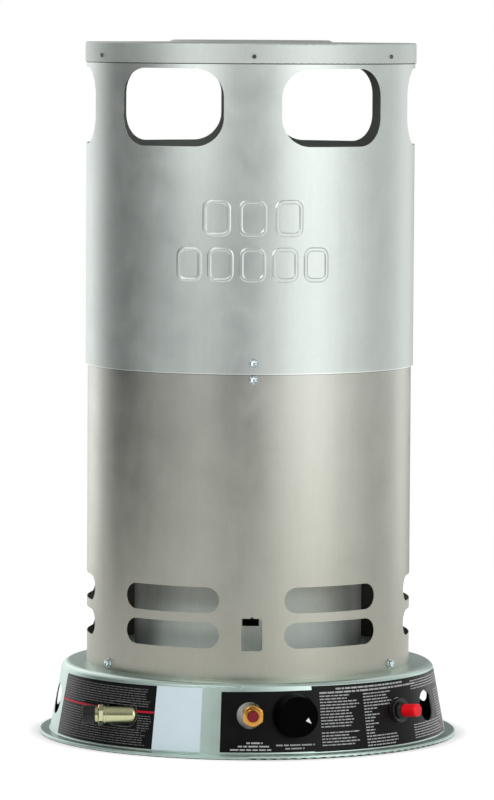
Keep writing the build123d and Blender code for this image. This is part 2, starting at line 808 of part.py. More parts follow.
bar_top = jet_bracket_bar_height + jet_bracket_sheet
half_jet_sheet = jet_bracket_sheet / 2
holder_middle = bar_top + holder_size / 2
holder_top = bar_top + holder_size

with BuildPart() as jet_bracket:
    foot_end = jet_bracket_half_span + jet_bracket_foot
    foot_level = plateau_under - half_jet_sheet
    with BuildSketch(Plane.XZ):
        with BuildLine():
            FilletPolyline(
                (-foot_end, foot_level),
                (-jet_bracket_half_span, foot_level),
                (-jet_bracket_half_span, bar_top - half_jet_sheet),
                (jet_bracket_half_span, bar_top - half_jet_sheet),
                (jet_bracket_half_span, foot_level),
                (foot_end, foot_level),
                radius=jet_bracket_bend,
            )
        trace(line_width=jet_bracket_sheet)
    extrude(amount=jet_bracket_width / 2, both=True)
    round_holes([Plane(origin=(x, 0, plateau_under)) for x in (-jet_screw_x, jet_screw_x)])
    round_holes([Plane(origin=(0, 0, bar_top))], radius=holder_stud_radius + running)
finish(jet_bracket, "jet_bracket")

with BuildPart() as jet_holder:
    with BuildSketch(Plane.XY.offset(bar_top)):
        Rectangle(holder_size, holder_size)
    extrude(amount=holder_size)
    chamfer(jet_holder.edges().filter_by(Axis.Z), length=holder_chamfer)
    stud_length = jet_bracket_sheet + holder_nut_height + holder_stud_beyond
    disc(Plane.XY.offset(bar_top), holder_stud_radius, -stud_length)
    disc(Plane.XY.offset(holder_top), jet_thread_radius + running, -holder_size / 2, Mode.SUBTRACT)
    disc(front_plane(0, holder_size / 2, holder_middle), jet_thread_radius, -holder_size / 2, Mode.SUBTRACT)
finish(jet_holder, "jet_holder")

with BuildPart() as gas_jet:
    hexagon(Plane.XY.offset(holder_top), jet_hex_width, jet_hex_height)
    disc(Plane.XY.offset(holder_top + jet_hex_height), jet_nose_radius, jet_nose_height)
    chamfer(gas_jet.edges().group_by(Axis.Z)[-1], length=jet_nose_chamfer)
    disc(Plane.XY.offset(holder_top), jet_thread_radius, -jet_thread_length)
    disc(
        Plane.XY.offset(holder_top - jet_thread_length),
        jet_bore_radius,
        jet_thread_length + jet_hex_height + jet_nose_height,
        Mode.SUBTRACT,
    )
finish(gas_jet, "gas_jet")

valve_back = valve_centre_reach - valve_depth / 2

with BuildPart() as gas_line:
    with BuildLine() as gas_route:
        FilletPolyline(
            (line_out_x, -valve_back, line_out_height),
            (line_out_x, -valve_back + line_out_run, line_out_height),
            (0, -line_turn_reach, holder_middle),
            (0, -holder_size / 2, holder_middle),
            radius=line_bend,
        )
    with BuildSketch(Plane(origin=gas_route.line @ 0, z_dir=gas_route.line % 0)):
        Circle(line_radius)
        Circle(line_radius - line_wall, mode=Mode.SUBTRACT)
    sweep()
finish(gas_line, "gas_line")

with BuildPart() as line_nuts:
    ends = (
        front_plane(line_out_x, valve_back, line_out_height).offset(-line_nut_length),
        front_plane(0, holder_size / 2, holder_middle),
    )
    for end in ends:
        hexagon(end, line_nut_width, line_nut_length)
        disc(end, line_radius + running, line_nut_length, Mode.SUBTRACT)
    nut_top = Plane.XY.offset(jet_bracket_bar_height - holder_nut_height)
    hexagon(nut_top, holder_nut_width, holder_nut_height)
    disc(nut_top, holder_stud_radius + running, holder_nut_height, Mode.SUBTRACT)
finish(line_nuts, "line_nuts")

# ---------------------------------------------------------------- valve body and bracket

knob_axis_root = side_plane(knob_azimuth, valve_centre_reach, valve_height)
bonnet_back = bracket_reach - neck_depth
bonnet_flat_half = bonnet_hex_width / 2
bonnet_corner_half = bonnet_flat_half / cos(radians(30))
bonnet_seat = wall_radius(valve_height - bonnet_corner_half) + wall_gap
bonnet_front = bonnet_seat + bonnet_hex_thickness + bonnet_collar_height
safety_front = bonnet_front + safety_proud
safety_head_back = safety_front - safety_head_length
spring_seat = safety_head_back - safety_spring_room
clip_front = bonnet_back - stop_gap
stem_end = clip_front - safety_clip_thickness - safety_stem_tail

with BuildPart() as valve_body:
    valve_middle_x = (valve_left + valve_right) / 2
    with BuildSketch(front_plane(valve_middle_x, valve_back, valve_height)):
        Rectangle(valve_right - valve_left, valve_block_height)
    extrude(amount=valve_depth)
    fillet(valve_body.edges().filter_by(Axis.Y), radius=valve_round)
    disc(front_plane(button_x, valve_centre_reach, valve_height), safety_boss_radius,
         bracket_reach - valve_centre_reach)
    disc(knob_axis_root, control_boss_radius, control_boss_reach - valve_centre_reach)
    disc(front_plane(button_x, bonnet_back, valve_height), neck_radius + running, neck_depth, Mode.SUBTRACT)
    disc(front_plane(button_x, bonnet_back, valve_height), safety_cavity_radius,
         stem_end - safety_travel - end_play - bonnet_back, Mode.SUBTRACT)
    disc(knob_axis_root, stem_radius + running, control_boss_reach - valve_centre_reach, Mode.SUBTRACT)
finish(valve_body, "valve_body")

with BuildPart() as valve_bracket:
    with BuildSketch(section_plane(0, button_x)):
        with BuildLine():
            FilletPolyline(
                (bracket_reach + half_bracket, valve_height - bracket_below),
                (bracket_reach + half_bracket, valve_height + bracket_above),
                (bracket_riser_reach, valve_height + bracket_above),
                (bracket_riser_reach, plateau_under - half_bracket),
                (bracket_riser_reach - bracket_foot_length, plateau_under - half_bracket),
                radius=bracket_bend,
            )
        trace(line_width=bracket_sheet)
    extrude(amount=bracket_width / 2, both=True)
    round_holes([front_plane(button_x, bracket_reach, valve_height)], radius=neck_radius + screw_clearance)
    round_holes([Plane(origin=(*place, plateau_under)) for place in under_screw_places[:2]])
finish(valve_bracket, "valve_bracket")

with BuildPart() as safety_bonnet:
    disc(front_plane(button_x, bonnet_back, valve_height), neck_radius, bonnet_seat - bonnet_back)
    hexagon(front_plane(button_x, bonnet_seat, valve_height), bonnet_hex_width, bonnet_hex_thickness,
            rotation=30)
    chamfer(safety_bonnet.edges().group_by(Axis.Y)[0], length=hex_chamfer)
    disc(front_plane(button_x, bonnet_seat, valve_height), bonnet_collar_radius, bonnet_front - bonnet_seat)
    disc(front_plane(button_x, bonnet_back, valve_height), safety_stem_radius + running,
         bonnet_front - bonnet_back, Mode.SUBTRACT)
    disc(front_plane(button_x, spring_seat, valve_height), safety_head_radius + running,
         bonnet_front - spring_seat, Mode.SUBTRACT)
finish(safety_bonnet, "safety_bonnet")

with BuildPart() as lock_nut:
    nut_seat = front_plane(button_x, bracket_reach + bracket_sheet, valve_height)
    hexagon(nut_seat, lock_nut_width, lock_nut_thickness)
    disc(nut_seat, neck_radius + running, lock_nut_thickness, Mode.SUBTRACT)
finish(lock_nut, "lock_nut")

with BuildPart() as safety_button:
    disc(front_plane(button_x, safety_head_back, valve_height), safety_head_radius, safety_head_length)
    fillet(safety_button.edges().group_by(Axis.Y)[0], radius=safety_head_round)
    stem_root = front_plane(button_x, safety_head_back, valve_height)
    disc(stem_root, safety_stem_radius, stem_end - safety_head_back)
    disc(front_plane(button_x, clip_front, valve_height), safety_clip_radius, -safety_clip_thickness)
finish(safety_button, "safety_button")

# ---------------------------------------------------------------- control knob

knob_back = side_plane(knob_azimuth, knob_back_reach, valve_height)

with BuildPart() as valve_stem:
    disc(knob_axis_root.offset(stop_gap), stem_radius,
         knob_back_reach + knob_bore_depth - valve_centre_reach - 2 * stop_gap)
finish(valve_stem, "valve_stem")

with BuildPart() as control_knob:
    with BuildSketch(knob_back):
        Circle(knob_radius)
    extrude(amount=knob_depth, taper=knob_taper)
    knob_face = control_knob.faces().sort_by(lambda f: f.center().dot(knob_back.z_dir))[-1]
    fillet(knob_face.edges(), radius=knob_round)
    with BuildSketch(knob_back):
        Circle(knob_radius - knob_skirt_wall)
        Circle(knob_hub_radius, mode=Mode.SUBTRACT)
    extrude(amount=knob_hollow_depth, taper=knob_taper, mode=Mode.SUBTRACT)
    disc(knob_back, stem_radius + running, knob_bore_depth, Mode.SUBTRACT)
finish(control_knob, "control_knob")

# ---------------------------------------------------------------- gas inlet

adapter_inner_x = inlet_wall_x + adapter_inside
socket_end_x = adapter_inner_x - adapter_socket_depth
shoulder_x = inlet_wall_x - adapter_shoulder
hex_back_x = shoulder_x - adapter_ring_width - adapter_groove_width
hex_end_x = hex_back_x - inlet_hex_thickness
neck_end_x = hex_end_x - inlet_neck_length

with BuildPart() as inlet_tube:
    disc(inlet_plane(valve_left), inlet_tube_radius, valve_left - socket_end_x)
    inlet_tube_bore = inlet_tube_radius - inlet_tube_wall
    disc(inlet_plane(valve_left), inlet_tube_bore, valve_left - socket_end_x, Mode.SUBTRACT)
finish(inlet_tube, "inlet_tube")

with BuildPart() as inlet_adapter:
    disc(inlet_plane(adapter_inner_x), adapter_radius, adapter_inner_x - hex_back_x)
    fillet(inlet_adapter.edges().group_by(Axis.X)[-1], radius=adapter_end_round)
    disc(inlet_plane(shoulder_x), adapter_ring_radius, adapter_ring_width)
    hexagon(inlet_plane(hex_back_x), inlet_hex_width, inlet_hex_thickness, rotation=30)
    chamfer(inlet_adapter.edges().group_by(Axis.X)[0], length=hex_chamfer)
    disc(inlet_plane(hex_end_x), inlet_neck_radius, inlet_neck_length)
    disc(inlet_plane(neck_end_x), inlet_stub_radius, inlet_stub_length)
    disc(inlet_plane(adapter_inner_x), inlet_tube_radius + running, adapter_socket_depth, Mode.SUBTRACT)
    disc(inlet_plane(socket_end_x), inlet_bore_radius, socket_end_x - neck_end_x + inlet_stub_length,
         Mode.SUBTRACT)
finish(inlet_adapter, "inlet_adapter")

with BuildPart() as dust_cap:
    cap_mouth = inlet_plane(neck_end_x - dust_cap_gap)
    disc(cap_mouth, dust_cap_radius, dust_cap_length)
    fillet(dust_cap.edges().group_by(Axis.X)[0], radius=dust_cap_round)
    disc(cap_mouth, inlet_stub_radius + running, dust_cap_length - dust_cap_end, Mode.SUBTRACT)
finish(dust_cap, "dust_cap")

# ---------------------------------------------------------------- igniter

igniter_tail = -igniter_setback - igniter_body_length
button_back = bushing_length - igniter_button_sunk

with BuildPart() as igniter_body:
    disc(on_igniter(igniter_tail), igniter_body_radius, igniter_body_length)
    disc(on_igniter(-igniter_setback), igniter_flange_radius, -igniter_flange_thickness)
    disc(on_igniter(-igniter_setback), bushing_radius, igniter_setback + bushing_length)
    disc(on_igniter(igniter_tail), igniter_terminal_radius, -igniter_terminal_length)
    disc(on_igniter(bushing_length), igniter_button_radius + running,
         -igniter_button_sunk - igniter_travel - end_play, Mode.SUBTRACT)
finish(igniter_body, "igniter_body")

with BuildPart() as igniter_nut:
    disc(on_igniter(-igniter_setback), igniter_nut_radius, igniter_setback + igniter_nut_thickness)
    with Locations((0, 0, lip_height)):
        Cone(
            wall_foot_radius + slip, wall_radius(pan_height) + slip, pan_height - lip_height,
            align=(Align.CENTER, Align.CENTER, Align.MIN), mode=Mode.SUBTRACT,
        )
    disc(on_igniter(-igniter_setback), bushing_radius + running, 3 * igniter_nut_thickness, Mode.SUBTRACT)
finish(igniter_nut, "igniter_nut")

with BuildPart() as igniter_button:
    disc(on_igniter(button_back), igniter_button_radius, igniter_button_sunk + igniter_button_proud)
    button_end = igniter_button.faces().sort_by(lambda f: f.center().dot(igniter_seat.z_dir))[-1]
    fillet(button_end.edges(), radius=igniter_button_round)
finish(igniter_button, "igniter_button")

# ---------------------------------------------------------------- spark electrode and thermocouple

terminal_end = on_igniter(igniter_tail - igniter_terminal_length).origin
terminal_radius = terminal_end.dot(radial(igniter_azimuth))
rise_slope = tan(radians(igniter_rise))
wire_low_radius = probe_circle + spark_wire_low_out
wire_low_height = terminal_end.Z - (terminal_radius - wire_low_radius) * rise_slope

with BuildPart() as spark_wire:
    with BuildLine(section_plane(igniter_azimuth)) as wire_route:
        FilletPolyline(
            (terminal_radius, terminal_end.Z),
            (wire_low_radius, wire_low_height),
            (probe_circle, plateau_height - spark_wire_turn_drop),
            (probe_circle, probe_bottom),
            radius=spark_wire_bend,
        )
    with BuildSketch(Plane(origin=wire_route.line @ 0, z_dir=wire_route.line % 0)):
        Circle(spark_wire_radius)
    sweep()
finish(spark_wire, "spark_wire")


tab_top = pilot_tab_height + bracket_sheet
insulator_top = plateau_height + insulator_top_rise
spark_rod_bottom = plateau_height + spark_rod_bottom_rise
thermocouple_top = plateau_height + thermocouple_top_rise

with BuildPart() as electrode_insulator:
    disc(upright(electrode_place, probe_bottom), insulator_radius, insulator_top - probe_bottom)
    disc(upright(electrode_place, tab_top), insulator_shoulder_radius, probe_shoulder_height)
    disc(upright(electrode_place, spark_rod_bottom), spark_rod_radius + running,
         insulator_top - spark_rod_bottom, Mode.SUBTRACT)
finish(electrode_insulator, "electrode_insulator")

with BuildPart() as spark_rod:
    with BuildLine(section_plane(igniter_azimuth)) as rod_route:
        FilletPolyline(
            (probe_circle, spark_rod_bottom + running),
            (probe_circle, plateau_height + spark_rod_knee_rise),
            (head_radius + spark_gap, plateau_height + spark_rod_end_rise),
            radius=spark_rod_bend,
        )
    with BuildSketch(Plane(origin=rod_route.line @ 0, z_dir=rod_route.line % 0)):
        Circle(spark_rod_radius)
    sweep()
finish(spark_rod, "spark_rod")

with BuildPart() as thermocouple:
    disc(upright(thermocouple_place, probe_bottom), thermocouple_radius, thermocouple_top - probe_bottom)
    fillet(thermocouple.edges().group_by(Axis.Z)[-1], radius=thermocouple_radius / 2)
    disc(upright(thermocouple_place, tab_top), thermocouple_shoulder_radius, probe_shoulder_height)
finish(thermocouple, "thermocouple")

with BuildPart() as pilot_bracket:
    with BuildSketch(section_plane(igniter_azimuth, -probe_spacing / 2)):
        with BuildLine():
            FilletPolyline(
                (pilot_foot_radius, plateau_height + half_bracket),
                (pilot_upright_radius, plateau_height + half_bracket),
                (pilot_upright_radius, pilot_tab_height + half_bracket),
                (probe_circle - pilot_tab_in, pilot_tab_height + half_bracket),
                radius=bracket_bend,
            )
        trace(line_width=bracket_sheet)
    extrude(amount=pilot_width / 2, both=True)
    electrode_hole = upright(electrode_place, pilot_tab_height)
    thermocouple_hole = upright(thermocouple_place, pilot_tab_height)
    round_holes([electrode_hole], insulator_radius + running, bracket_sheet)
    round_holes([thermocouple_hole], thermocouple_radius + running, bracket_sheet)
    round_holes([upright(pilot_screw_place, plateau_height)], depth=bracket_sheet)
finish(pilot_bracket, "pilot_bracket")

with BuildPart() as thermocouple_lead:
    with BuildLine() as lead_route:
        FilletPolyline(
            (thermocouple_place.X, thermocouple_place.Y, probe_bottom),
            (thermocouple_place.X, thermocouple_place.Y, plateau_height - lead_turn_drop),
            (button_x, lead_straight - valve_back, valve_height),
            (button_x, -valve_back, valve_height),
            radius=list(lead_bends),
        )
    with BuildSketch(Plane(origin=lead_route.line @ 0, z_dir=lead_route.line % 0)):
        Circle(lead_radius)
    sweep()
finish(thermocouple_lead, "thermocouple_lead")

with BuildPart() as lead_nut:
    lead_nut_end = front_plane(button_x, valve_back - lead_nut_length, valve_height)
    hexagon(lead_nut_end, lead_nut_width, lead_nut_length)
    disc(lead_nut_end, lead_radius + running, lead_nut_length, Mode.SUBTRACT)
finish(lead_nut, "lead_nut")

with BuildPart() as grommets:
    for place, bore in ((electrode_place, spark_wire_radius), (thermocouple_place, lead_radius)):
        disc(upright(place, plateau_height), grommet_radius, grommet_lip)
        disc(upright(place, plateau_under), grommet_radius, -grommet_lip)
        disc(upright(place, plateau_under), grommet_hole_radius, pan_sheet)
        disc(upright(place, plateau_under - grommet_lip), bore + running, 2 * grommet_lip + pan_sheet,
             Mode.SUBTRACT)
finish(grommets, "grommets")
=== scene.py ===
import json
from math import cos, degrees, pi, radians, sin, tan
from random import Random

import bmesh
import bpy
from mathutils import Matrix, Vector


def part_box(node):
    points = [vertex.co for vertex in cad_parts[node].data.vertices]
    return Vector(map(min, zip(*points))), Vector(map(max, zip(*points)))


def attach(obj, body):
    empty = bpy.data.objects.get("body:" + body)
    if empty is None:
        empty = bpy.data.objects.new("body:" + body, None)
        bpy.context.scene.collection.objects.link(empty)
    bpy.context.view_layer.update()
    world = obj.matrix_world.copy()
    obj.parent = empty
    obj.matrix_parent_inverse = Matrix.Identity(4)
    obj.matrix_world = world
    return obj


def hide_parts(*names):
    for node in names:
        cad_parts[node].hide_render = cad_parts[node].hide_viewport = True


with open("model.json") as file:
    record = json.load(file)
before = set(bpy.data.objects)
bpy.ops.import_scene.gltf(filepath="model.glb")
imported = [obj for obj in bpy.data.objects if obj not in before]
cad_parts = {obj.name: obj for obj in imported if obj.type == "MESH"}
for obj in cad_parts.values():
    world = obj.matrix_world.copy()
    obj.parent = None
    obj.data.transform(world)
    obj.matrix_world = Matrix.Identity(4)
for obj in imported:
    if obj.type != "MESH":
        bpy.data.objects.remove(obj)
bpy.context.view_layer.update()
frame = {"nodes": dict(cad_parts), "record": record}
nodes = frame["nodes"]
MM = 0.001

# ------------------------------------------------------------------ places taken from the frame

UPPER_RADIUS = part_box("upper_shell")[1].x
LOWER_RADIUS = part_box("lower_shell")[1].x
CHAMBER_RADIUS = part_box("combustion_chamber")[1].x
SEAM_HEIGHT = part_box("upper_shell")[0].z
LID_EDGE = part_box("top_cap")[0].z
PLATEAU_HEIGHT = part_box("base_pan")[1].z

LIP_HEIGHT = 4 * MM
WALL_FOOT_RADIUS = 206.6 * MM     # the pan's leaning wall, at the top of its lip
WALL_LEAN_DEGREES = 10.4
WALL_LEAN = radians(WALL_LEAN_DEGREES)
PAN_STEP_HEIGHT = 73 * MM         # above it the pan's top is painted lighter, a painted highlight where its shoulder catches the light

# Azimuths are in degrees from the front, positive towards +X
VENT_AZIMUTHS = (-100.0, -80.0, 67.0)
VENT_HEIGHT = 38.0 * MM
INLET_AZIMUTH = -39.91
KNOB_AZIMUTH = 13.6
SAFETY_X = 2.7 * MM
IGNITER_AZIMUTH = 50.5
IGNITER_HEIGHT = 39.6 * MM
IGNITER_RISE = 5.0                # degrees


def wall_radius(height):
    """Radius of the pan's leaning wall, on its outer face."""
    return WALL_FOOT_RADIUS - (height - LIP_HEIGHT) * tan(WALL_LEAN)


def radial(azimuth):
    """Unit vector outward at an azimuth."""
    return Vector((sin(radians(azimuth)), -cos(radians(azimuth)), 0))


def around_axis(azimuth, reach, height):
    """Point at an azimuth, a reach from the axis and a height."""
    return radial(azimuth) * reach + Vector((0, 0, height))


def place(azimuth, reach, height, rise=0.0):
    """Matrix whose z runs outward at an azimuth, tipped up by rise degrees, and whose y runs up."""
    z = radial(azimuth) * cos(radians(rise)) + Vector((0, 0, sin(radians(rise))))
    x = radial(azimuth + 90)
    y = z.cross(x)
    m = Matrix((x, y, z)).transposed().to_4x4()
    m.translation = around_axis(azimuth, reach, height)
    return m


def in_mm(matrix):
    """The matrix with its own lengths in millimetres."""
    return matrix @ Matrix.Scale(MM, 4)


# ------------------------------------------------------------------ shader helpers


def add(tree, kind, inputs=None, **props):
    """Add a shader node. inputs maps a socket's name or number to a value or to another node's output."""
    n = tree.nodes.new(kind)
    for key, value in props.items():
        setattr(n, key, value)
    for key, value in (inputs or {}).items():
        if isinstance(value, bpy.types.NodeSocket):
            tree.links.new(value, n.inputs[key])
        else:
            n.inputs[key].default_value = value
    return n


def maths(tree, operation, a, b=0.0, clamp=False):
    """Output of a Math node."""
    return add(tree, "ShaderNodeMath", {0: a, 1: b}, operation=operation, use_clamp=clamp).outputs[0]


def total(tree, first, *others):
    """Sum of two or more factors."""
    for other in others:
        first = maths(tree, "ADD", first, other)
    return first


def vector_maths(tree, operation, a, b=(0.0, 0.0, 0.0)):
    """Node of a vector operation."""
    return add(tree, "ShaderNodeVectorMath", {0: a, 1: b}, operation=operation)


def scale_vector(tree, vector, factors):
    """A vector with each part multiplied."""
    return vector_maths(tree, "MULTIPLY", vector, factors).outputs[0]


def part_of(tree, vector, axis):
    """The X, Y or Z of a vector."""
    return add(tree, "ShaderNodeSeparateXYZ", {0: vector}).outputs[axis]


def noise(tree, vector, scale, detail=3.0, roughness=0.5, distortion=0.0):
    """Factor output of a Noise texture."""
    n = add(tree, "ShaderNodeTexNoise", {"Vector": vector, "Scale": scale, "Detail": detail,
                                         "Roughness": roughness, "Distortion": distortion})
    return n.outputs["Fac"]


def map_range(tree, factor, start, end, low=0.0, high=1.0, interpolation="LINEAR"):
    """A factor's range from start to end mapped to low and high, and held beyond them."""
    n = add(tree, "ShaderNodeMapRange", {"Value": factor, "From Min": start, "From Max": end,
                                         "To Min": low, "To Max": high}, interpolation_type=interpolation)
    return n.outputs[0]


def spread(tree, factor, low, high):
    """The middle half of a noise's range mapped to low and high."""
    return map_range(tree, factor, 0.25, 0.75, low, high)


def ramp(tree, factor, stops, interpolation="LINEAR"):
    """Colour output of a Color Ramp with stops of (place, colour)."""
    n = add(tree, "ShaderNodeValToRGB", {"Fac": factor})
    n.color_ramp.interpolation = interpolation
    elements = n.color_ramp.elements
    while len(elements) > 1:
        elements.remove(elements[-1])
    elements[0].position = stops[0][0]
    elements[0].color = (*stops[0][1], 1)
    for position, colour in stops[1:]:
        elements.new(position).color = (*colour, 1)
    return n.outputs["Color"]


def mix(tree, factor, a, b, blend="MIX"):
    """Colour output of a Mix node."""
    n = add(tree, "ShaderNodeMix", {0: factor}, data_type="RGBA", blend_type=blend)
    for key, value in ((6, a), (7, b)):
        if isinstance(value, bpy.types.NodeSocket):
            tree.links.new(value, n.inputs[key])
        else:
            n.inputs[key].default_value = (*value, 1)
    return n.outputs[2]


def multiply(tree, a, b):
    """Product of two colours."""
    return mix(tree, 1.0, a, b, "MULTIPLY")


def grey(tree, level):
    """The grey of a level."""
    return add(tree, "ShaderNodeCombineColor", {0: level, 1: level, 2: level}).outputs[0]


def mix_vectors(tree, share, a, b):
    """Vector output of a Mix node."""
    n = add(tree, "ShaderNodeMix", {"Factor": share}, data_type="VECTOR")
    tree.links.new(a, n.inputs[4])
    tree.links.new(b, n.inputs[5])
    return n.outputs[1]


def new_material(name):
    """A material with a Principled shader, its tree and the object's own coordinates."""
    material = bpy.data.materials.new(name)
    material.use_nodes = True
    tree = material.node_tree
    tree.nodes.clear()
    shader = add(tree, "ShaderNodeBsdfPrincipled")
    add(tree, "ShaderNodeOutputMaterial", {"Surface": shader.outputs[0]})
    coordinates = add(tree, "ShaderNodeTexCoord").outputs["Object"]
    return material, tree, shader, coordinates


# ------------------------------------------------------------------ round sheets

FLAT_RADIUS = 0.17                # at which a turn is measured in metres round the shell
LEVEL = (1.0, 1.0, 0.0)           # keeps the level part of a vector
SKIN = 0.3 * MM                   # depth that counts as the outer skin
EDGE_ROUND = 0.4 * MM             # of a sheet's bent and cut edges
ROLLED_ANISOTROPY = 0.35


def azimuth_of(tree, vector):
    """Angle from the front in radians, positive towards +X."""
    return maths(tree, "ARCTAN2", part_of(tree, vector, "X"),
                 maths(tree, "MULTIPLY", part_of(tree, vector, "Y"), -1.0))


def around(tree, coordinates):
    """Coordinates that run round the shell in x, and up it in z, both in metres."""
    across = maths(tree, "MULTIPLY", azimuth_of(tree, coordinates), FLAT_RADIUS)
    up = part_of(tree, coordinates, "Z")
    return add(tree, "ShaderNodeCombineXYZ", {"X": across, "Y": 0.0, "Z": up}).outputs[0]


def outward(tree, coordinates, lean=0.0):
    """Unit vector away from the shell's axis, tipped up by the lean in radians."""
    level = vector_maths(tree, "NORMALIZE", scale_vector(tree, coordinates, LEVEL)).outputs[0]
    level = scale_vector(tree, level, (cos(lean), cos(lean), 0.0))
    return vector_maths(tree, "ADD", level, (0.0, 0.0, sin(lean))).outputs[0]


def on_outside(tree, coordinates, radius):
    """1 on the outer skin of a round shell of that radius, 0 deeper and on what stands out of it."""
    reach = vector_maths(tree, "LENGTH", scale_vector(tree, coordinates, LEVEL)).outputs["Value"]
    deep = maths(tree, "GREATER_THAN", reach, radius - SKIN)
    return maths(tree, "MULTIPLY", deep, maths(tree, "LESS_THAN", reach, radius + SKIN / 10))


def facing(tree, direction):
    """The facet's own normal, and how far it faces a direction, from -1 to 1."""
    normal = add(tree, "ShaderNodeNewGeometry").outputs["True Normal"]
    return normal, vector_maths(tree, "DOT_PRODUCT", normal, direction).outputs["Value"]


def inner_side(tree, coordinates):
    """1 on faces that look towards the axis or down, 0 on the outside."""
    normal, out = facing(tree, outward(tree, coordinates))
    inward = maths(tree, "LESS_THAN", out, -0.2)
    down = maths(tree, "LESS_THAN", part_of(tree, normal, "Z"), -0.5)
    return maths(tree, "MAXIMUM", inward, down)


def true_round(tree, coordinates, normal, lean, radius):
    """The given normal, or the exact one of a round sheet where the facet faces very nearly that way.

    On the outer skin of a shell whose radius is given, always the exact one.
    """
    exact = outward(tree, coordinates, lean)
    out = facing(tree, exact)[1]
    side = maths(tree, "SIGN", out)
    sided = add(tree, "ShaderNodeVectorMath", {0: exact, "Scale": side}, operation="SCALE")
    share = map_range(tree, maths(tree, "ABSOLUTE", out), 0.90, 0.95)
    result = mix_vectors(tree, share, normal, sided.outputs[0])
    if radius:
        result = mix_vectors(tree, on_outside(tree, coordinates, radius), result, exact)
    return vector_maths(tree, "NORMALIZE", result).outputs[0]


def edge_rounding(tree, size):
    """Normal that rounds the edges."""
    return add(tree, "ShaderNodeBevel", {"Radius": size}, samples=6).outputs[0]


def set_bump(tree, shader, layers, normal=None):
    """Chain bump layers of (height, distance, strength), over a first normal, into the shader's normal."""
    for height, distance, strength in layers:
        inputs = {"Height": height, "Distance": distance, "Strength": strength}
        if normal is not None:
            inputs["Normal"] = normal
        normal = add(tree, "ShaderNodeBump", inputs).outputs[0]
    tree.links.new(normal, shader.inputs["Normal"])


def sheet_metal(name, colour, roughness, contrast=0.05, wave=0.35, stain=None, lean=0.0,
                inner_shade=(0.16, 0.15, 0.14), painted_light_bands=(), metallic=1.0, radius=None):
    """Zinc-coated sheet: vertical rolling grain, cloudy coating, fine spangle and a slow waviness.

    Its inner side and the faces that look down are duller, and painted darker as shade. Its bands list
    (low, high, colour): heights painted darker as the shadow under a rim or a seam, or lighter as a
    highlight on an edge or a step.
    """
    material, tree, shader, coordinates = new_material(name)
    flat = around(tree, coordinates)
    streaks = noise(tree, scale_vector(tree, flat, (1.0, 1.0, 0.02)), 420.0, 4.0, 0.6)
    bands = noise(tree, scale_vector(tree, flat, (1.0, 1.0, 0.12)), 26.0, 3.0, 0.5)
    clouds = noise(tree, flat, 24.0, 5.0, 0.6, 0.4)
    grain = noise(tree, coordinates, 1400.0, 2.0, 0.7)
    spangle = add(tree, "ShaderNodeTexVoronoi", {"Vector": flat, "Scale": 260.0}).outputs["Color"]
    spangle_level = add(tree, "ShaderNodeSeparateColor", {0: spangle}).outputs[0]
    level = total(tree, spread(tree, clouds, -contrast, contrast),
                  spread(tree, streaks, -contrast * 0.5, contrast * 0.5),
                  spread(tree, bands, -contrast * 0.5, contrast * 0.5),
                  maths(tree, "MULTIPLY", spangle_level, contrast * 0.4), 1.0)
    base = multiply(tree, colour, grey(tree, level))
    if stain:
        base = stain(tree, base, coordinates)
    height = part_of(tree, coordinates, "Z")
    # painted light: bands of height painted darker as shadows or lighter as highlights
    for low, high, tone in painted_light_bands:
        above = maths(tree, "GREATER_THAN", height, low)
        below = maths(tree, "LESS_THAN", height, high)
        base = mix(tree, maths(tree, "MULTIPLY", above, below), base, tone)
    inner = inner_side(tree, coordinates)
    if radius:
        elsewhere = maths(tree, "SUBTRACT", 1.0, on_outside(tree, coordinates, radius))
        inner = maths(tree, "MULTIPLY", inner, elsewhere)
    # painted shade: the inner side and the faces that look down are darkened
    base = mix(tree, inner, base, multiply(tree, base, inner_shade))
    tree.links.new(base, shader.inputs["Base Color"])
    shader.inputs["Metallic"].default_value = metallic
    rough = total(tree, spread(tree, clouds, -0.04, 0.04), spread(tree, grain, -0.05, 0.05), roughness,
                  maths(tree, "MULTIPLY", inner, 0.2))
    tree.links.new(rough, shader.inputs["Roughness"])
    shader.inputs["Anisotropic"].default_value = ROLLED_ANISOTROPY
    tangent = add(tree, "ShaderNodeTangent", direction_type="RADIAL", axis="Z").outputs[0]
    tree.links.new(tangent, shader.inputs["Tangent"])
    slow = noise(tree, scale_vector(tree, flat, (1.0, 1.0, 0.2)), 9.0, 2.0, 0.4)
    set_bump(tree, shader, [(slow, 0.004, wave), (bands, 0.0012, wave * 0.5), (grain, 0.00003, 0.5)],
             true_round(tree, coordinates, edge_rounding(tree, EDGE_ROUND), lean, radius))
    return material


HEAT_TOP = 0.6                    # height at which the chamber's heat colours have faded


def heat_tint_and_side_shade(tree, base, coordinates):
    """Straw and blue heat colours low on the chamber, fading upward, and painted shade darkening its two
    sides.
    """
    uneven = noise(tree, coordinates, 14.0, 4.0, 0.6)
    level = total(tree, part_of(tree, coordinates, "Z"), spread(tree, uneven, -0.03, 0.03))
    tint = ramp(tree, maths(tree, "DIVIDE", level, HEAT_TOP), [
        (0.14, (0.93, 0.94, 0.94)), (0.24, (0.90, 0.88, 0.82)), (0.34, (0.84, 0.76, 0.64)),
        (0.46, (0.80, 0.78, 0.82)), (0.62, (0.92, 0.90, 0.86)), (1.0, (0.97, 0.97, 0.96)),
    ])
    # painted shade: darker towards the chamber's two sides, where it turns away from the light
    aside = maths(tree, "ABSOLUTE", part_of(tree, coordinates, "X"))
    side_shade = ramp(tree, maths(tree, "DIVIDE", aside, CHAMBER_RADIUS), [
        (0.82, (1.0, 1.0, 1.0)), (0.92, (0.50, 0.50, 0.50)), (0.99, (0.06, 0.06, 0.06)),
    ])
    return multiply(tree, multiply(tree, base, tint), side_shade)


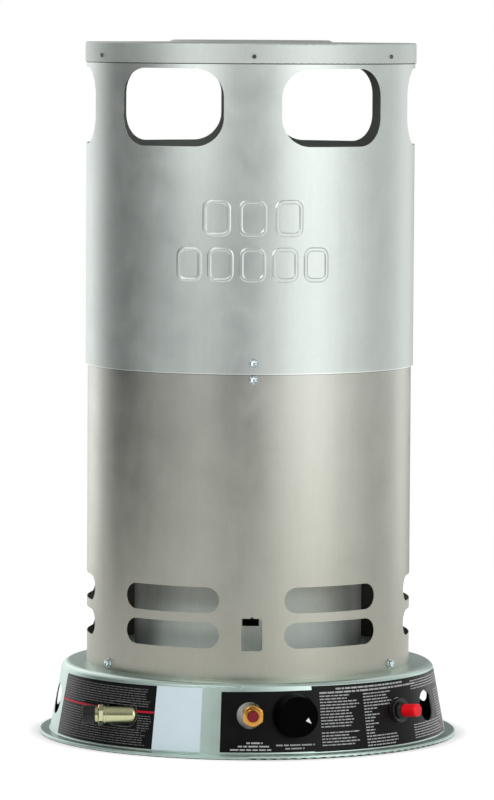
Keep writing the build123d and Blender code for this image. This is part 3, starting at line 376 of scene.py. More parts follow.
def darker_towards_bottom(tree, base, coordinates):
    """A slightly darker and warmer tone low on the shell."""
    uneven = noise(tree, coordinates, 9.0, 3.0, 0.5)
    level = total(tree, part_of(tree, coordinates, "Z"), spread(tree, uneven, -0.02, 0.02))
    tint = ramp(tree, level, [
        (0.10, (0.78, 0.76, 0.72)), (0.22, (0.90, 0.89, 0.86)), (0.36, (1.0, 1.0, 1.0)),
    ])
    return multiply(tree, base, tint)


# ------------------------------------------------------------------ other finishes

FITTING_EDGE = 0.3 * MM           # edge rounding of the small pieces
HOLLOW_REACH = 4 * MM


def fittings_metal(name, colour, roughness, contrast=0.08, grain_scale=900.0, bump=0.00004, hollow_shade_level=0.25,
                   metallic=1.0, dark=(0.10, 0.09, 0.07)):
    """Turned, cast or plated metal: fine grain, cloudy tarnish, and painted shade that darkens the hollows.
    """
    material, tree, shader, coordinates = new_material(name)
    clouds = noise(tree, coordinates, 120.0, 4.0, 0.6)
    grain = noise(tree, coordinates, grain_scale, 3.0, 0.6)
    level = total(tree, spread(tree, clouds, 1.0 - contrast, 1.0 + contrast),
                  spread(tree, grain, -contrast * 0.5, contrast * 0.5))
    base = multiply(tree, colour, grey(tree, level))
    # painted shade: darker where ambient occlusion finds a hollow
    hollow = add(tree, "ShaderNodeAmbientOcclusion", {"Distance": HOLLOW_REACH}, samples=4, only_local=True)
    hollow_shade = maths(tree, "MULTIPLY", maths(tree, "SUBTRACT", 1.0, hollow.outputs["AO"]), hollow_shade_level, clamp=True)
    tree.links.new(mix(tree, hollow_shade, base, dark), shader.inputs["Base Color"])
    shader.inputs["Metallic"].default_value = metallic
    rough = total(tree, spread(tree, clouds, -0.06, 0.06), spread(tree, grain, -0.04, 0.04), roughness)
    tree.links.new(rough, shader.inputs["Roughness"])
    set_bump(tree, shader, [(grain, bump, 0.6)], edge_rounding(tree, FITTING_EDGE))
    return material


def moulded(name, colour, roughness, speckle=0.12, scale=1600.0, coat=0.0, specular=0.5):
    """Moulded plastic, rubber or ceramic: fine grain, faint changes of tone and gloss."""
    material, tree, shader, coordinates = new_material(name)
    clouds = noise(tree, coordinates, 90.0, 3.0, 0.5)
    grain = noise(tree, coordinates, scale, 2.0, 0.5)
    level = spread(tree, clouds, 1.0 - speckle, 1.0 + speckle)
    tree.links.new(multiply(tree, colour, grey(tree, level)), shader.inputs["Base Color"])
    rough = total(tree, spread(tree, clouds, -0.05, 0.05), spread(tree, grain, -0.04, 0.04), roughness)
    tree.links.new(rough, shader.inputs["Roughness"])
    shader.inputs["Specular IOR Level"].default_value = specular
    shader.inputs["Coat Weight"].default_value = coat
    shader.inputs["Coat Roughness"].default_value = 0.12
    set_bump(tree, shader, [(grain, 0.00003, 0.5)], edge_rounding(tree, FITTING_EDGE))
    return material


def vinyl(name, ground, roughness=0.32, specular=0.12, cloudy=0.08):
    """Vinyl film or the ink on it: faint clouds of tone and gloss over a slow ripple."""
    material, tree, shader, coordinates = new_material(name)
    clouds = noise(tree, coordinates, 60.0, 3.0, 0.5)
    level = spread(tree, clouds, 1.0 - cloudy, 1.0 + cloudy)
    tree.links.new(multiply(tree, ground, grey(tree, level)), shader.inputs["Base Color"])
    shader.inputs["Specular IOR Level"].default_value = specular
    tree.links.new(spread(tree, clouds, roughness - 0.05, roughness + 0.05), shader.inputs["Roughness"])
    grain = noise(tree, coordinates, 700.0, 2.0, 0.5)
    slow = noise(tree, coordinates, 45.0, 2.0, 0.5)
    set_bump(tree, shader, [(slow, 0.0006, 0.3), (grain, 0.00003, 0.4)])
    return material


# painted shadows: a dark band under the lid's rim, and a paler one on the lower shell under the seam's edge
LID_RIM_SHADOW = (0.10, 0.10, 0.09)
SEAM_SHADOW = (0.26, 0.28, 0.26)
# painted highlights: a bright band on the upper shell's hem, and a lighter pan top above its step
HEM_HIGHLIGHT = (0.80, 0.86, 0.83)
STEP_HIGHLIGHT = (0.74, 0.88, 0.82)

materials = {
    "pan_steel": sheet_metal("pan_sheet", (0.48, 0.60, 0.55), 0.36, wave=0.25, lean=WALL_LEAN,
                             inner_shade=(0.04, 0.04, 0.04), painted_light_bands=[(PAN_STEP_HEIGHT, 0.1, STEP_HIGHLIGHT)]),
    "lower_shell_steel": sheet_metal("lower_sheet", (0.435, 0.445, 0.402), 0.36, stain=darker_towards_bottom,
                                     radius=LOWER_RADIUS,
                                     painted_light_bands=[(SEAM_HEIGHT - 0.7 * MM, SEAM_HEIGHT, SEAM_SHADOW)]),
    "upper_shell_steel": sheet_metal("upper_sheet", (0.525, 0.568, 0.544), 0.42, radius=UPPER_RADIUS,
                                     painted_light_bands=[(LID_EDGE - 0.8 * MM, LID_EDGE, LID_RIM_SHADOW),
                                                    (SEAM_HEIGHT, SEAM_HEIGHT + 1.0 * MM, HEM_HIGHLIGHT)],
                                     inner_shade=(0.50, 0.50, 0.48)),
    "lid_steel": sheet_metal("lid_sheet", (0.49, 0.527, 0.504), 0.52),
    "chamber_steel": sheet_metal("chamber_sheet", (0.76, 0.83, 0.80), 0.60, 0.07, stain=heat_tint_and_side_shade,
                                 metallic=0.25),
    "bracket_steel": fittings_metal("bracket_plate", (0.84, 0.86, 0.84), 0.45, metallic=0.5),
    "zinc_screw": fittings_metal("bright_zinc", (0.66, 0.76, 0.78), 0.20, hollow_shade_level=0.6),
    "dark_screw": fittings_metal("dark_plate", (0.10, 0.10, 0.10), 0.35),
    "cast_iron": fittings_metal("as_cast", (0.10, 0.10, 0.10), 0.62, 0.2, 500.0, 0.0003, metallic=0.6),
    "brass": fittings_metal("turned_brass", (0.56, 0.28, 0.06), 0.22, hollow_shade_level=0.8, dark=(0.20, 0.07, 0.01)),
    "inlet_brass": fittings_metal("pale_brass", (0.50, 0.50, 0.30), 0.17, 0.04, 1400.0, 0.00001, hollow_shade_level=0.5,
                                  dark=(0.10, 0.10, 0.04)),
    "valve_casting": fittings_metal("die_casting", (0.52, 0.53, 0.53), 0.44, 0.1, 600.0, 0.0001),
    "stem_steel": fittings_metal("turned_steel", (0.55, 0.55, 0.54), 0.28),
    "aluminium_tube": fittings_metal("drawn_tube", (0.70, 0.71, 0.72), 0.32),
    "copper": fittings_metal("bare_copper", (0.66, 0.32, 0.18), 0.30),
    "knob_black": moulded("knob_plastic", (0.0015, 0.0015, 0.0016), 0.40, specular=0.01),
    "button_red": moulded("button_plastic", (0.86, 0.004, 0.012), 0.34, specular=0.3),
    "black_plastic": moulded("satin_plastic", (0.006, 0.006, 0.0065), 0.40, specular=0.3),
    "igniter_chrome": moulded("collar_plastic", (0.006, 0.006, 0.0065), 0.30, specular=0.4),
    "white_ceramic": moulded("glazed_white", (0.80, 0.78, 0.72), 0.18, 0.03, coat=0.4),
    "black_rubber": moulded("soft_rubber", (0.014, 0.014, 0.014), 0.62, scale=900.0),
}
button_deep_red = moulded("button_deep_red", (0.19, 0.001, 0.012), 0.30, specular=0.3)
pointer_white = moulded("pointer_white", (0.80, 0.80, 0.78), 0.4, 0.03)
label_black = vinyl("label_black", (0.004, 0.004, 0.0045))
label_pale = vinyl("label_pale", (0.63, 0.75, 0.80), roughness=0.38, specular=0.25, cloudy=0.015)
rule_grey = vinyl("rule_grey", (0.13, 0.13, 0.13), roughness=0.45)
rule_pale = vinyl("rule_pale", (0.42, 0.43, 0.42), roughness=0.45)
stripe_red = vinyl("stripe_red", (0.45, 0.012, 0.030), roughness=0.40)


def smooth(mesh, angle):
    """Smooth shading, with edges sharper than an angle in degrees kept."""
    mesh.shade_smooth()
    mesh.set_sharp_from_angle(angle=radians(angle))


for part in frame["record"]["subparts"]:
    mesh = nodes[part["node"]].data
    mesh.materials.clear()
    mesh.materials.append(materials[part["material_slot"]])
    smooth(mesh, 32)
nodes["safety_button"].data.materials[0] = button_deep_red

# ------------------------------------------------------------------ mesh helpers


def add_object(name, data):
    """Link an object."""
    thing = bpy.data.objects.new(name, data)
    bpy.context.scene.collection.objects.link(thing)
    return thing


def add_piece(name, mesh, material, body="heater", smooth_angle=40):
    """Link a mesh as a piece that rides on a body."""
    piece = add_object(name, mesh)
    mesh.materials.append(material)
    smooth(mesh, smooth_angle)
    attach(piece, body)
    return piece


def to_mesh(name, built):
    """Mesh of a bmesh, which is freed."""
    mesh = bpy.data.meshes.new(name)
    built.to_mesh(mesh)
    built.free()
    return mesh


def closed_mesh(name, built):
    """Mesh of a closed bmesh, its normals outward."""
    bmesh.ops.recalc_face_normals(built, faces=built.faces)
    return to_mesh(name, built)


def skin(built, rows, rings=True, closed=False):
    """Faces between each row of vertices and the next.

    rings joins the two ends of each row, and closed joins the last row and the first.
    """
    pairs = list(zip(rows, rows[1:]))
    if closed:
        pairs.append((rows[-1], rows[0]))
    for low, high in pairs:
        for n in range(len(low) if rings else len(low) - 1):
            m = (n + 1) % len(low)
            built.faces.new((low[n], low[m], high[m], high[n]))


def cap_ends(built, low, high):
    """Faces over the two end rings."""
    built.faces.new(list(reversed(low)))
    built.faces.new(high)


def bar(built, rows):
    """A bar skinned over four rows of vertices that run along it."""
    skin(built, rows, rings=False, closed=True)
    cap_ends(built, [row[0] for row in rows], [row[-1] for row in rows])


def round_points(radius, count):
    """Points of a circle."""
    return [(radius * cos(2 * pi * n / count), radius * sin(2 * pi * n / count)) for n in range(count)]


def turned(name, matrices, profile, segments=72, closed=False):
    """Mesh of a profile turned round each matrix's z.

    The profile lists (radius, height), or (radius, height, flat) where a hexagon's flats, at that distance
    from the axis, cut the round.
    """
    built = bmesh.new()
    for matrix in matrices:
        rings = []
        for radius, height, *flat in profile:
            ring = []
            for n in range(segments):
                turn = 2 * pi * n / segments
                size = radius
                if flat:
                    size = min(radius, flat[0] / cos((turn + pi / 6) % (pi / 3) - pi / 6))
                ring.append(built.verts.new(matrix @ Vector((size * cos(turn), size * sin(turn), height))))
            rings.append(ring)
        skin(built, rings, closed=closed)
        if not closed:
            cap_ends(built, rings[0], rings[-1])
    return closed_mesh(name, built)


def span(node, azimuth, height, near=6 * MM):
    """Least and greatest reach of a CAD node's points round an axis that runs outward at a height."""
    way = radial(azimuth)
    level = Vector((0, 0, height))
    reaches = []
    for vertex in nodes[node].data.vertices:
        reach = vertex.co.dot(way)
        if reach > 0 and (vertex.co - way * reach - level).length < near:
            reaches.append(reach)
    return min(reaches), max(reaches)


# ------------------------------------------------------------------ raised frames on the upper shell

FRAME_AZIMUTH = 1.0
FRAME_RISE = 1.0 * MM
FRAME_STROKE = 5.0 * MM
FRAME_SINK = 0.15 * MM            # of the stroke's edges, under the shell's skin
FRAME_CORNER = 7 * MM
FRAME_STEPS = 10                  # across the stroke
FRAME_ROWS = (                    # count, width, height, gap and the row's middle height
    (3, 30 * MM, 38 * MM, 7 * MM, 543.5 * MM),
    (5, 28 * MM, 36 * MM, 5 * MM, 496.5 * MM),
)


def rounded_rectangle(width, height, corner, step=1.5 * MM):
    """Points and outward directions round a rounded rectangle."""
    points = []
    for cx, cy, start in ((1, 1, 0), (-1, 1, 90), (-1, -1, 180), (1, -1, 270)):
        centre = Vector((cx * (width / 2 - corner), cy * (height / 2 - corner)))
        for n in range(13):
            turn = radians(start + 90 * n / 12)
            way = Vector((cos(turn), sin(turn)))
            points.append((centre + way * corner, way))
    full = []
    for (a, way_a), (b, way_b) in zip(points, points[1:] + points[:1]):
        pieces = max(1, round((b - a).length / step))
        for n in range(pieces):
            full.append((a.lerp(b, n / pieces), way_a.lerp(way_b, n / pieces).normalized()))
    return full


def raised_frame(name, azimuth, height, width, tall):
    """A pressed rounded frame on the upper shell: a soft ridge that follows a rounded rectangle."""
    outline = rounded_rectangle(width, tall, FRAME_CORNER)
    built = bmesh.new()
    rows = []
    for n in range(FRAME_STEPS + 1):
        across = n / FRAME_STEPS * 2 - 1
        sink = FRAME_SINK if n in (0, FRAME_STEPS) else 0
        rise = FRAME_RISE * (0.5 + 0.5 * cos(pi * across)) ** 0.75 - sink
        row = []
        for point, way in outline:
            spot = point + way * (across * FRAME_STROKE / 2)
            turn = azimuth + degrees(spot.x / UPPER_RADIUS)
            row.append(built.verts.new(around_axis(turn, UPPER_RADIUS + rise, height + spot.y)))
        rows.append(row)
    skin(built, rows, closed=True)
    add_piece(name, closed_mesh(name, built), materials["upper_shell_steel"],
              smooth_angle=60)


for row, (count, width, tall, gap, middle) in enumerate(FRAME_ROWS):
    for n in range(count):
        shift = (n - (count - 1) / 2) * (width + gap)
        azimuth = FRAME_AZIMUTH + degrees(shift / UPPER_RADIUS)
        raised_frame(f"pressed_frame_{row + 1}_{n + 1}", azimuth, middle, width - FRAME_STROKE,
                     tall - FRAME_STROKE)

# ------------------------------------------------------------------ the strips between the air slots

SLOT_AZIMUTHS = (-88.65, -28.65, 31.35, 91.35, 153.1, 206.9)
BRIDGE_HALF_ANGLE = 14.6
BRIDGE_LOW = PLATEAU_HEIGHT + 45.0 * MM
BRIDGE_HIGH = PLATEAU_HEIGHT + 54.3 * MM
BRIDGE_SHEET = 0.88 * MM
BRIDGE_PROUD = 0.02 * MM          # over the shell's skin, so that the two don't share one surface
BRIDGE_COLUMNS = 60


def slot_bridges():
    """The strips of shell between the air slots, in shorter facets than the CAD mesh has there."""
    built = bmesh.new()
    outer = LOWER_RADIUS + BRIDGE_PROUD
    inner = LOWER_RADIUS - BRIDGE_SHEET
    corners = ((outer, BRIDGE_LOW), (outer, BRIDGE_HIGH), (inner, BRIDGE_HIGH), (inner, BRIDGE_LOW))
    for azimuth in SLOT_AZIMUTHS:
        turns = [azimuth + (2 * c / BRIDGE_COLUMNS - 1) * BRIDGE_HALF_ANGLE
                 for c in range(BRIDGE_COLUMNS + 1)]
        bar(built, [[built.verts.new(around_axis(turn, reach, height)) for turn in turns]
                    for reach, height in corners])
    add_piece("slot_bridges", closed_mesh("slot_bridges", built), materials["lower_shell_steel"])


slot_bridges()

# ------------------------------------------------------------------ labels on the pan's wall

LABEL_GAP = 0.12 * MM
LABEL_THICKNESS = 0.16 * MM
LABEL_CELL = (2.0 * MM, 4.0 * MM)  # width and height of a label's faces
INK = 0.05 * MM
ON_LABEL = LABEL_GAP + LABEL_THICKNESS
ON_RIGHT_LABEL = LABEL_GAP + 2 * LABEL_THICKNESS
CUT_DEPTH = 20 * MM

# What the labels leave open: round holes as (azimuth, height, radius), the safety valve's and the inlet's
ROUND_HOLES = [(azimuth, VENT_HEIGHT, 16.5 * MM) for azimuth in VENT_AZIMUTHS] + [
    (IGNITER_AZIMUTH, IGNITER_HEIGHT, 13.2 * MM), (KNOB_AZIMUTH, 43.5 * MM, 9.0 * MM),
]
SAFETY_HOLE_HEIGHT = 43.0 * MM
SAFETY_HOLE_RADIUS = 13.3 * MM
INLET_HOLE_HEIGHT = 38.0 * MM
INLET_HOLE_WIDTH = 42.6 * MM
INLET_HOLE_TALL = 25.6 * MM


def hole_cutters():
    """Cutting bodies for the holes that the labels clear, as one mesh object."""
    built = bmesh.new()

    def prism(matrix, outline):
        rings = [[built.verts.new(matrix @ Vector((x, y, z))) for x, y in outline]
                 for z in (-CUT_DEPTH, CUT_DEPTH)]
        cap_ends(built, *rings)
        skin(built, rings)

    def on_wall(azimuth, height):
        return place(azimuth, wall_radius(height), height, WALL_LEAN_DEGREES)

    for azimuth, height, radius in ROUND_HOLES:
        prism(on_wall(azimuth, height), round_points(radius, 64))
    front = place(0, wall_radius(SAFETY_HOLE_HEIGHT), SAFETY_HOLE_HEIGHT)
    front.translation.x = SAFETY_X
    prism(front, round_points(SAFETY_HOLE_RADIUS, 64))
    outline = []
    end_radius = INLET_HOLE_TALL / 2
    for side, start in ((1, -90), (-1, 90)):
        for n in range(25):
            turn = radians(start + 180 * n / 24)
            outline.append((side * (INLET_HOLE_WIDTH - INLET_HOLE_TALL) / 2 + end_radius * cos(turn),
                            end_radius * sin(turn)))
    prism(on_wall(INLET_AZIMUTH, INLET_HOLE_HEIGHT), outline)
    return add_object("hole_cutters", to_mesh("hole_cutters", built))


def wall_point(azimuth, height, out):
    """A point on the pan's wall, out from its face."""
    return around_axis(azimuth, wall_radius(height) + out / cos(WALL_LEAN), height)


def label(name, left, right, bottom, top, material, tilt=0.0, out=LABEL_GAP):
    """A thin sheet that hugs the pan's wall between two azimuths and two heights, with the holes cut out.

    tilt is how much higher its right end stands, at the top.
    """
    middle = wall_radius((bottom + top) / 2)
    columns = max(2, round(radians(right - left) * middle / LABEL_CELL[0]))
    rows = max(2, round((top - bottom) / LABEL_CELL[1]))
    built = bmesh.new()
    sheets = []
    for level in (out, out + LABEL_THICKNESS):
        grid = []
        for r in range(rows + 1):
            row = []
            for c in range(columns + 1):
                azimuth = left + (right - left) * c / columns
                height = bottom + (top - bottom + tilt * c / columns) * r / rows
                row.append(built.verts.new(wall_point(azimuth, height, level)))
            grid.append(row)
        sheets.append(grid)
    inner, outer = sheets
    for r in range(rows):
        for c in range(columns):
            built.faces.new((outer[r][c], outer[r][c + 1], outer[r + 1][c + 1], outer[r + 1][c]))
            built.faces.new((inner[r][c], inner[r + 1][c], inner[r + 1][c + 1], inner[r][c + 1]))
    for r in range(rows):
        built.faces.new((inner[r][0], outer[r][0], outer[r + 1][0], inner[r + 1][0]))
        built.faces.new((outer[r][columns], inner[r][columns], inner[r + 1][columns], outer[r + 1][columns]))
    for c in range(columns):
        built.faces.new((inner[0][c], inner[0][c + 1], outer[0][c + 1], outer[0][c]))
        built.faces.new((outer[rows][c], outer[rows][c + 1], inner[rows][c + 1], inner[rows][c]))
    piece = add_piece(name, closed_mesh(name, built), material, smooth_angle=60)
    cut = piece.modifiers.new("holes", "BOOLEAN")
    cut.operation = "DIFFERENCE"
    cut.solver = "EXACT"
    cut.object = cutters
    cut_mesh = bpy.data.meshes.new_from_object(piece.evaluated_get(bpy.context.evaluated_depsgraph_get()))
    piece.modifiers.clear()
    piece.data = cut_mesh


cutters = hole_cutters()
label("label_left", -71.9, -28.0, 5.6 * MM, 67.6 * MM, label_black, tilt=1.4 * MM)
label("label_plain", -28.0, -13.4, 5.6 * MM, 69.2 * MM, label_pale)
label("label_front", -7.7, 20.3, 6.2 * MM, 66.2 * MM, label_black, tilt=1.1 * MM)
label("label_right", 19.5, 84.0, 5.6 * MM, 71.2 * MM, label_black, tilt=-1.4 * MM, out=ON_LABEL)
bpy.data.objects.remove(cutters)

# ------------------------------------------------------------------ plain rules and dashes on the labels

RULE_CELL = 1.8                   # degrees
chance = Random(7)


def rules(name, strips, material, out):
    """Thin plain strips on a label, as one mesh.

    Each is (left, right, height at its left end, height at its right end, thickness).
    """
    built = bmesh.new()
    for left, right, low, high, tall in strips:
        columns = max(1, round((right - left) / RULE_CELL))
        rows = []
        for edge, level in ((0, out), (0, out + INK), (1, out + INK), (1, out)):
            row = []
            for c in range(columns + 1):
                share = c / columns
                height = low + (high - low) * share + tall * (edge - 0.5)
                row.append(built.verts.new(wall_point(left + (right - left) * share, height, level)))
            rows.append(row)
        bar(built, rows)
    add_piece(name, closed_mesh(name, built), material, smooth_angle=30)


def broken_row(left, right, height, tall, dash=1.5, gap=0.28):
    """A level row of dashes of uneven length: heights in millimetres, lengths in degrees round the wall."""
    strips = []
    while left < right:
        end = min(right, left + dash * chance.uniform(0.35, 1.3))
        strips.append((left, end, height * MM, height * MM, tall * MM))
        left = end + gap
    return strips


def block(rows, top, bottom, step):
    """Rows of dashes from one height down to another.

    rows gives the (left, right, thickness, dash) of what stands at a height.
    """
    strips = []
    while top > bottom:
        for left, right, tall, dash in rows(top):
            strips += broken_row(left, right, top, tall, dash)
        top -= step
    return strips


def left_rows(height):
    """Rows of the left label, which clear its red stripe and the inlet."""
    end = -29.8 - chance.uniform(0.0, 3.5)
    if height > 45.2 or height < 24.0:
        yield -70.9, end, 0.8, 2.2
    elif abs(height - 41.4) > 2.6:
        yield -70.9, -57.0, 0.8, 2.2
        if height < 38.0:
            yield -33.6, -30.0 + chance.uniform(0.0, 1.2), 0.85, 1.5


def first_column(height):
    """Rows of the right label's first column, with one blank line."""
    if not 26.0 < height < 29.0:
        yield 21.8, 34.9 - chance.uniform(0.0, 5.0), 1.15, 1.5


def second_column(height):
    """Rows of the right label's second column, short beside the igniter."""
    end = 48.0 if height > 47.0 else 42.2 if height > 20.0 else 49.5
    yield 36.6, end - chance.uniform(0.0, 3.0), 1.15, 1.5


def last_column(height):
    """Rows of the right label's last column, which clear the vent."""
    if height > 56.5:
        yield 58.4, 83.0, 0.9, 2.4
    elif height < 23.0:
        yield 57.2, 82.0 - chance.uniform(0.0, 6.0), 0.9, 2.4
    elif height < 52.0:
        yield 75.6, 83.0, 0.9, 2.4


rules("rules_left", block(left_rows, 64.4, 8.0, 2.42), rule_grey, ON_LABEL)
rules("stripe_left", [(-71.9, -49.0, 42.0 * MM, 41.6 * MM, 2.2 * MM),
                      (-34.6, -28.1, 42.0 * MM, 42.2 * MM, 2.1 * MM)], stripe_red, ON_LABEL)
front_rows = []
for left, right, height, tall in ((-0.2, 4.4, 15.6, 1.5), (-2.6, 6.2, 12.2, 1.5), (-4.8, 6.8, 8.8, 1.5),
                                  (8.2, 20.0, 13.2, 1.4), (10.8, 16.4, 9.8, 1.4)):
    front_rows += broken_row(left, right, height, tall, dash=2.4, gap=0.35)
rules("rules_front", front_rows, rule_pale, ON_LABEL)
right_rows = broken_row(27.2, 54.0, 67.4, 1.7, dash=2.6) + broken_row(21.8, 61.0, 63.9, 1.7, dash=2.6)
right_rows += block(first_column, 60.6, 9.0, 3.05)
right_rows += block(second_column, 60.2, 8.0, 3.05)
right_rows += block(last_column, 66.4, 8.0, 2.6)
rules("rules_right", right_rows, rule_pale, ON_RIGHT_LABEL)

# ------------------------------------------------------------------ knob's pointer

POINTER_CORNERS = ((13.2, -6.8), (10.1, -0.6), (7.25, -4.0))     # millimetres on the knob's face
POINTER_BACK = -0.1
POINTER_FRONT = 0.15


def pointer():
    """A white triangle inlaid near the rim of the knob's face."""
    low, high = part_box("control_knob")
    reach = max(v.co.dot(radial(KNOB_AZIMUTH)) for v in nodes["control_knob"].data.vertices)
    face = in_mm(place(KNOB_AZIMUTH, reach, (low.z + high.z) / 2))
    built = bmesh.new()
    rings = [[built.verts.new(face @ Vector((x, y, z))) for x, y in POINTER_CORNERS]
             for z in (POINTER_BACK, POINTER_FRONT)]
    cap_ends(built, *rings)
    skin(built, rings)
    add_piece("knob_pointer", closed_mesh("knob_pointer", built), pointer_white, body="knob")


pointer()

# ------------------------------------------------------------------ screws, bonnet, igniter, in millimetres

HEAD_RISE = 3.8                   # of a hex washer head
HEAD_FLAT = 3.2                   # its hexagon, centre to flat
SHANK = 2.0                       # radius
SEAM_SCREWS = [(azimuth, height) for azimuth in (1.5, 121.5, -118.5)
               for height in (SEAM_HEIGHT + 11.7 * MM, SEAM_HEIGHT - 5.1 * MM)]
BASE_SCREWS = [(azimuth, PLATEAU_HEIGHT - 6.0 * MM) for azimuth in (-58.0, 60.1, 180.0)]


def hex_screws(name, node, seats):
    """Hex washer-head screws with a dished washer and an indented head, in place of a CAD node."""
    matrices = []
    for azimuth, height in seats:
        inner, outer = span(node, azimuth, height)
        matrices.append(in_mm(place(azimuth, outer - HEAD_RISE * MM, height)))
    shank = (outer - inner) / MM - HEAD_RISE
    profile = [
        (SHANK, -shank), (SHANK, 0.02), (4.5, 0.02), (4.75, 0.2), (4.75, 0.55), (4.55, 0.8), (4.2, 0.86),
        (3.75, 0.7), (3.7, 0.75, HEAD_FLAT), (3.7, 3.2, HEAD_FLAT), (3.5, 3.5, HEAD_FLAT),
        (3.1, 3.75, HEAD_FLAT), (2.7, 3.8), (2.3, 3.72), (1.5, 3.3), (0.5, 3.2),
    ]
    mesh = turned(name, matrices, profile, segments=48)
    piece = add_piece(name, mesh, materials["zinc_screw"])
    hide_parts(node)


hex_screws("seam_screw_heads", "seam_screws", SEAM_SCREWS)
hex_screws("base_screw_heads", "base_screws", BASE_SCREWS)

BONNET_FLAT = 10.25               # centre to flat
BONNET_BORE = 5.35
BONNET_STEM_BORE = 2.45
BONNET_FLOOR = -18.0


def bonnet():
    """The safety valve's bonnet, with a turned hexagon and a rounded collar, in place of the CAD node."""
    low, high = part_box("safety_bonnet")
    seat = place(0, -low.y, (low.z + high.z) / 2)
    seat.translation.x = (low.x + high.x) / 2
    back = -(high.y - low.y) / MM
    profile = [
        (BONNET_STEM_BORE, back), (8.0, back), (8.0, -9.0), (11.2, -9.0, BONNET_FLAT),
        (11.84, -8.4, BONNET_FLAT), (11.84, -3.7, BONNET_FLAT), (11.3, -3.0, BONNET_FLAT),
        (10.6, -2.5, BONNET_FLAT), (9.8, -2.15), (8.8, -2.0), (7.3, -1.95), (6.95, -1.8), (6.75, -1.45),
        (6.75, -0.5), (6.6, -0.15), (6.3, 0.0), (5.9, 0.0), (5.55, -0.25), (BONNET_BORE, -0.7),
        (BONNET_BORE, BONNET_FLOOR), (BONNET_STEM_BORE, BONNET_FLOOR),
    ]
    piece = add_piece("bonnet_turned", turned("bonnet_turned", [in_mm(seat)], profile, closed=True),
                      materials["brass"], smooth_angle=35)
    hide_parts("safety_bonnet")


bonnet()

IGNITER = in_mm(place(IGNITER_AZIMUTH, wall_radius(IGNITER_HEIGHT), IGNITER_HEIGHT, IGNITER_RISE))
THREAD_TURNS = 4
THREAD_START = 4.75
THREAD_PITCH = 1.02
GRIP_RIDGES = 30
GRIP_PROFILE = (                  # radius, height and the ridges' half depth
    (12.3, 0.6, 0.0), (12.6, 0.6, 0.1), (12.75, 1.0, 0.28), (12.75, 3.8, 0.28), (12.55, 4.25, 0.1),
    (12.3, 4.3, 0.0),
)


def igniter_thread():
    """The thread of the igniter's collar, as ridges round it."""
    profile = [(7.6, 4.4), (8.02, 4.55)]
    for turn in range(THREAD_TURNS):
        low = THREAD_START + turn * THREAD_PITCH
        profile += [(8.1, low), (8.5, low + 0.35), (8.5, low + 0.6), (8.1, low + 0.95)]
    profile += [(8.02, 8.9), (7.6, 8.9)]
    add_piece("igniter_thread", turned("igniter_thread", [IGNITER], profile, closed=True),
              materials["igniter_chrome"], smooth_angle=30)


def igniter_grip():
    """The ridged rim of the igniter's ring nut."""
    built = bmesh.new()
    steps = GRIP_RIDGES * 8
    rings = []
    for radius, height, depth in GRIP_PROFILE:
        ring = []
        for n in range(steps):
            turn = 2 * pi * n / steps
            size = radius + depth * cos(GRIP_RIDGES * 2 * pi * n / steps)
            ring.append(built.verts.new(IGNITER @ Vector((size * cos(turn), size * sin(turn), height))))
        rings.append(ring)
    skin(built, rings, closed=True)
    add_piece("igniter_grip", closed_mesh("igniter_grip", built), materials["igniter_chrome"],
              smooth_angle=60)


igniter_thread()
igniter_grip()

# ------------------------------------------------------------------ floor, light and camera

FLOOR_RADIUS = 1.5
FLOOR_GLOW = 0.55
GLOW_START = 0.205                # reach at which the floor's glow begins, by the pan's shadow
GLOW_FULL = 0.235
WHITE = (1.0, 1.0, 1.0)
OVERHEAD = 0.55
LEVELS = [                        # brightness round the studio, by azimuth
    (-180, 0.15), (-165, 1.06), (-150, 2.13), (-130, 1.50), (-115, 0.02), (-90, 0.10), (-70, 0.41),
    (-50, 0.48), (-30, 0.87), (-10, 0.11), (10, 0.54), (30, 1.72), (50, 2.24), (70, 1.10), (90, 0.72),
    (115, 0.72), (140, 1.87), (160, 0.20), (180, 0.15),
]


def seen_by(tree, first, *others):
    """1 for rays of any of these kinds."""
    path = add(tree, "ShaderNodeLightPath")
    seen = path.outputs[first]
    for kind in others:
        seen = maths(tree, "MAXIMUM", seen, path.outputs[kind])
    return seen


def lay_floor():
    """A plain pale floor, which glows to camera, glossy and transmission rays beyond the pan's shadow."""
    built = bmesh.new()
    bmesh.ops.create_circle(built, cap_ends=True, segments=96, radius=FLOOR_RADIUS)
    mesh = to_mesh("floor", built)
    floor = add_object("floor", mesh)
    material = bpy.data.materials.new("floor_white")
    material.use_nodes = True
    tree = material.node_tree
    tree.nodes.clear()
    spot = add(tree, "ShaderNodeTexCoord").outputs["Object"]
    tone = grey(tree, spread(tree, noise(tree, spot, 3.0), 0.80, 0.84))
    plain = add(tree, "ShaderNodeBsdfDiffuse", {"Color": tone})
    reach = vector_maths(tree, "LENGTH", spot).outputs["Value"]
    strength = map_range(tree, reach, GLOW_START, GLOW_FULL, 0.0, FLOOR_GLOW)
    glow = add(tree, "ShaderNodeEmission", {"Color": (*WHITE, 1), "Strength": strength})
    seen = seen_by(tree, "Is Camera Ray", "Is Glossy Ray", "Is Transmission Ray")
    dark = add(tree, "ShaderNodeEmission", {"Color": (0, 0, 0, 1), "Strength": 0.0})
    lit = add(tree, "ShaderNodeMixShader", {0: seen, 1: dark.outputs[0], 2: glow.outputs[0]})
    both = add(tree, "ShaderNodeAddShader", {0: plain.outputs[0], 1: lit.outputs[0]})
    add(tree, "ShaderNodeOutputMaterial", {"Surface": both.outputs[0]})
    mesh.materials.append(material)


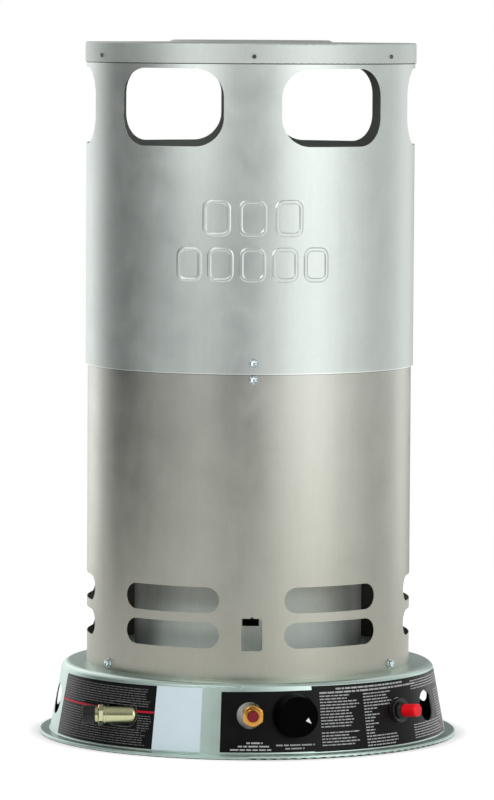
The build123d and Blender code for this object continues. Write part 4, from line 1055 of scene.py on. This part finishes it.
def light_studio():
    """A world that is white to the camera, and light and dark bands round the studio to the metal."""
    world = bpy.data.worlds.new("studio")
    bpy.context.scene.world = world
    world.use_nodes = True
    tree = world.node_tree
    tree.nodes.clear()
    direction = add(tree, "ShaderNodeTexCoord").outputs["Generated"]
    turn = total(tree, maths(tree, "DIVIDE", azimuth_of(tree, direction), 2 * pi), 0.5)
    sides = ramp(tree, turn, [((a + 180) / 360, (v, v, v)) for a, v in LEVELS], "EASE")
    up = map_range(tree, part_of(tree, direction, "Z"), 0.25, 0.8, interpolation="SMOOTHSTEP")
    studio = mix(tree, up, sides, (OVERHEAD, OVERHEAD, OVERHEAD))
    shown = mix(tree, seen_by(tree, "Is Camera Ray", "Is Transmission Ray"), studio, WHITE)
    background = add(tree, "ShaderNodeBackground", {"Color": shown, "Strength": 1.0})
    add(tree, "ShaderNodeOutputWorld", {"Surface": background.outputs[0]})


SOFTBOX_DISTANCE = 1.3
SOFTBOX_HEIGHT = 1.10
SOFTBOX_WIDTH = 0.45
SOFTBOX_TALL = 0.9
SOFTBOX_AIM = Vector((0, 0, 0.4))


def softbox(name, azimuth, level):
    """A rectangular area light that faces the object; level is its brightness, where 1 is white."""
    data = bpy.data.lights.new(name, "AREA")
    data.shape = "RECTANGLE"
    data.size = SOFTBOX_WIDTH
    data.size_y = SOFTBOX_TALL
    data.energy = level * pi * SOFTBOX_WIDTH * SOFTBOX_TALL
    spot = around_axis(azimuth, SOFTBOX_DISTANCE, SOFTBOX_HEIGHT)
    facing_back = (spot - SOFTBOX_AIM).to_track_quat("Z", "Y").to_matrix().to_4x4()
    add_object(name, data).matrix_world = Matrix.Translation(spot) @ facing_back


lay_floor()
light_studio()
softbox("softbox_left", -35, 5.0)
softbox("softbox_right", 34, 1.5)

# The photographer's standpoint: a long lens, a little above the lid's height, looking slightly down
IMAGE_HEIGHT = 800
FOCAL_PIXELS = 5125.7
SENSOR_WIDTH = 36.0
CLIP_END = 100.0
DISTANCE = 5.3346
CAMERA_HEIGHT = 0.7404
PITCH = 4.2113                    # degrees, as is the roll
ROLL = 0.33
YAW_PIXELS = 2.1

camera_data = bpy.data.cameras.new("camera")
camera_data.sensor_width = SENSOR_WIDTH
camera_data.lens = FOCAL_PIXELS / IMAGE_HEIGHT * SENSOR_WIDTH
camera_data.clip_end = CLIP_END
camera = add_object("camera", camera_data)
camera.matrix_world = (Matrix.Translation((0, -DISTANCE, CAMERA_HEIGHT))
                       @ Matrix.Rotation(YAW_PIXELS / FOCAL_PIXELS, 4, "Z")
                       @ Matrix.Rotation(radians(90 - PITCH), 4, "X")
                       @ Matrix.Rotation(radians(ROLL), 4, "Z"))
bpy.context.scene.camera = camera
bpy.context.scene.view_settings.view_transform = "Standard"
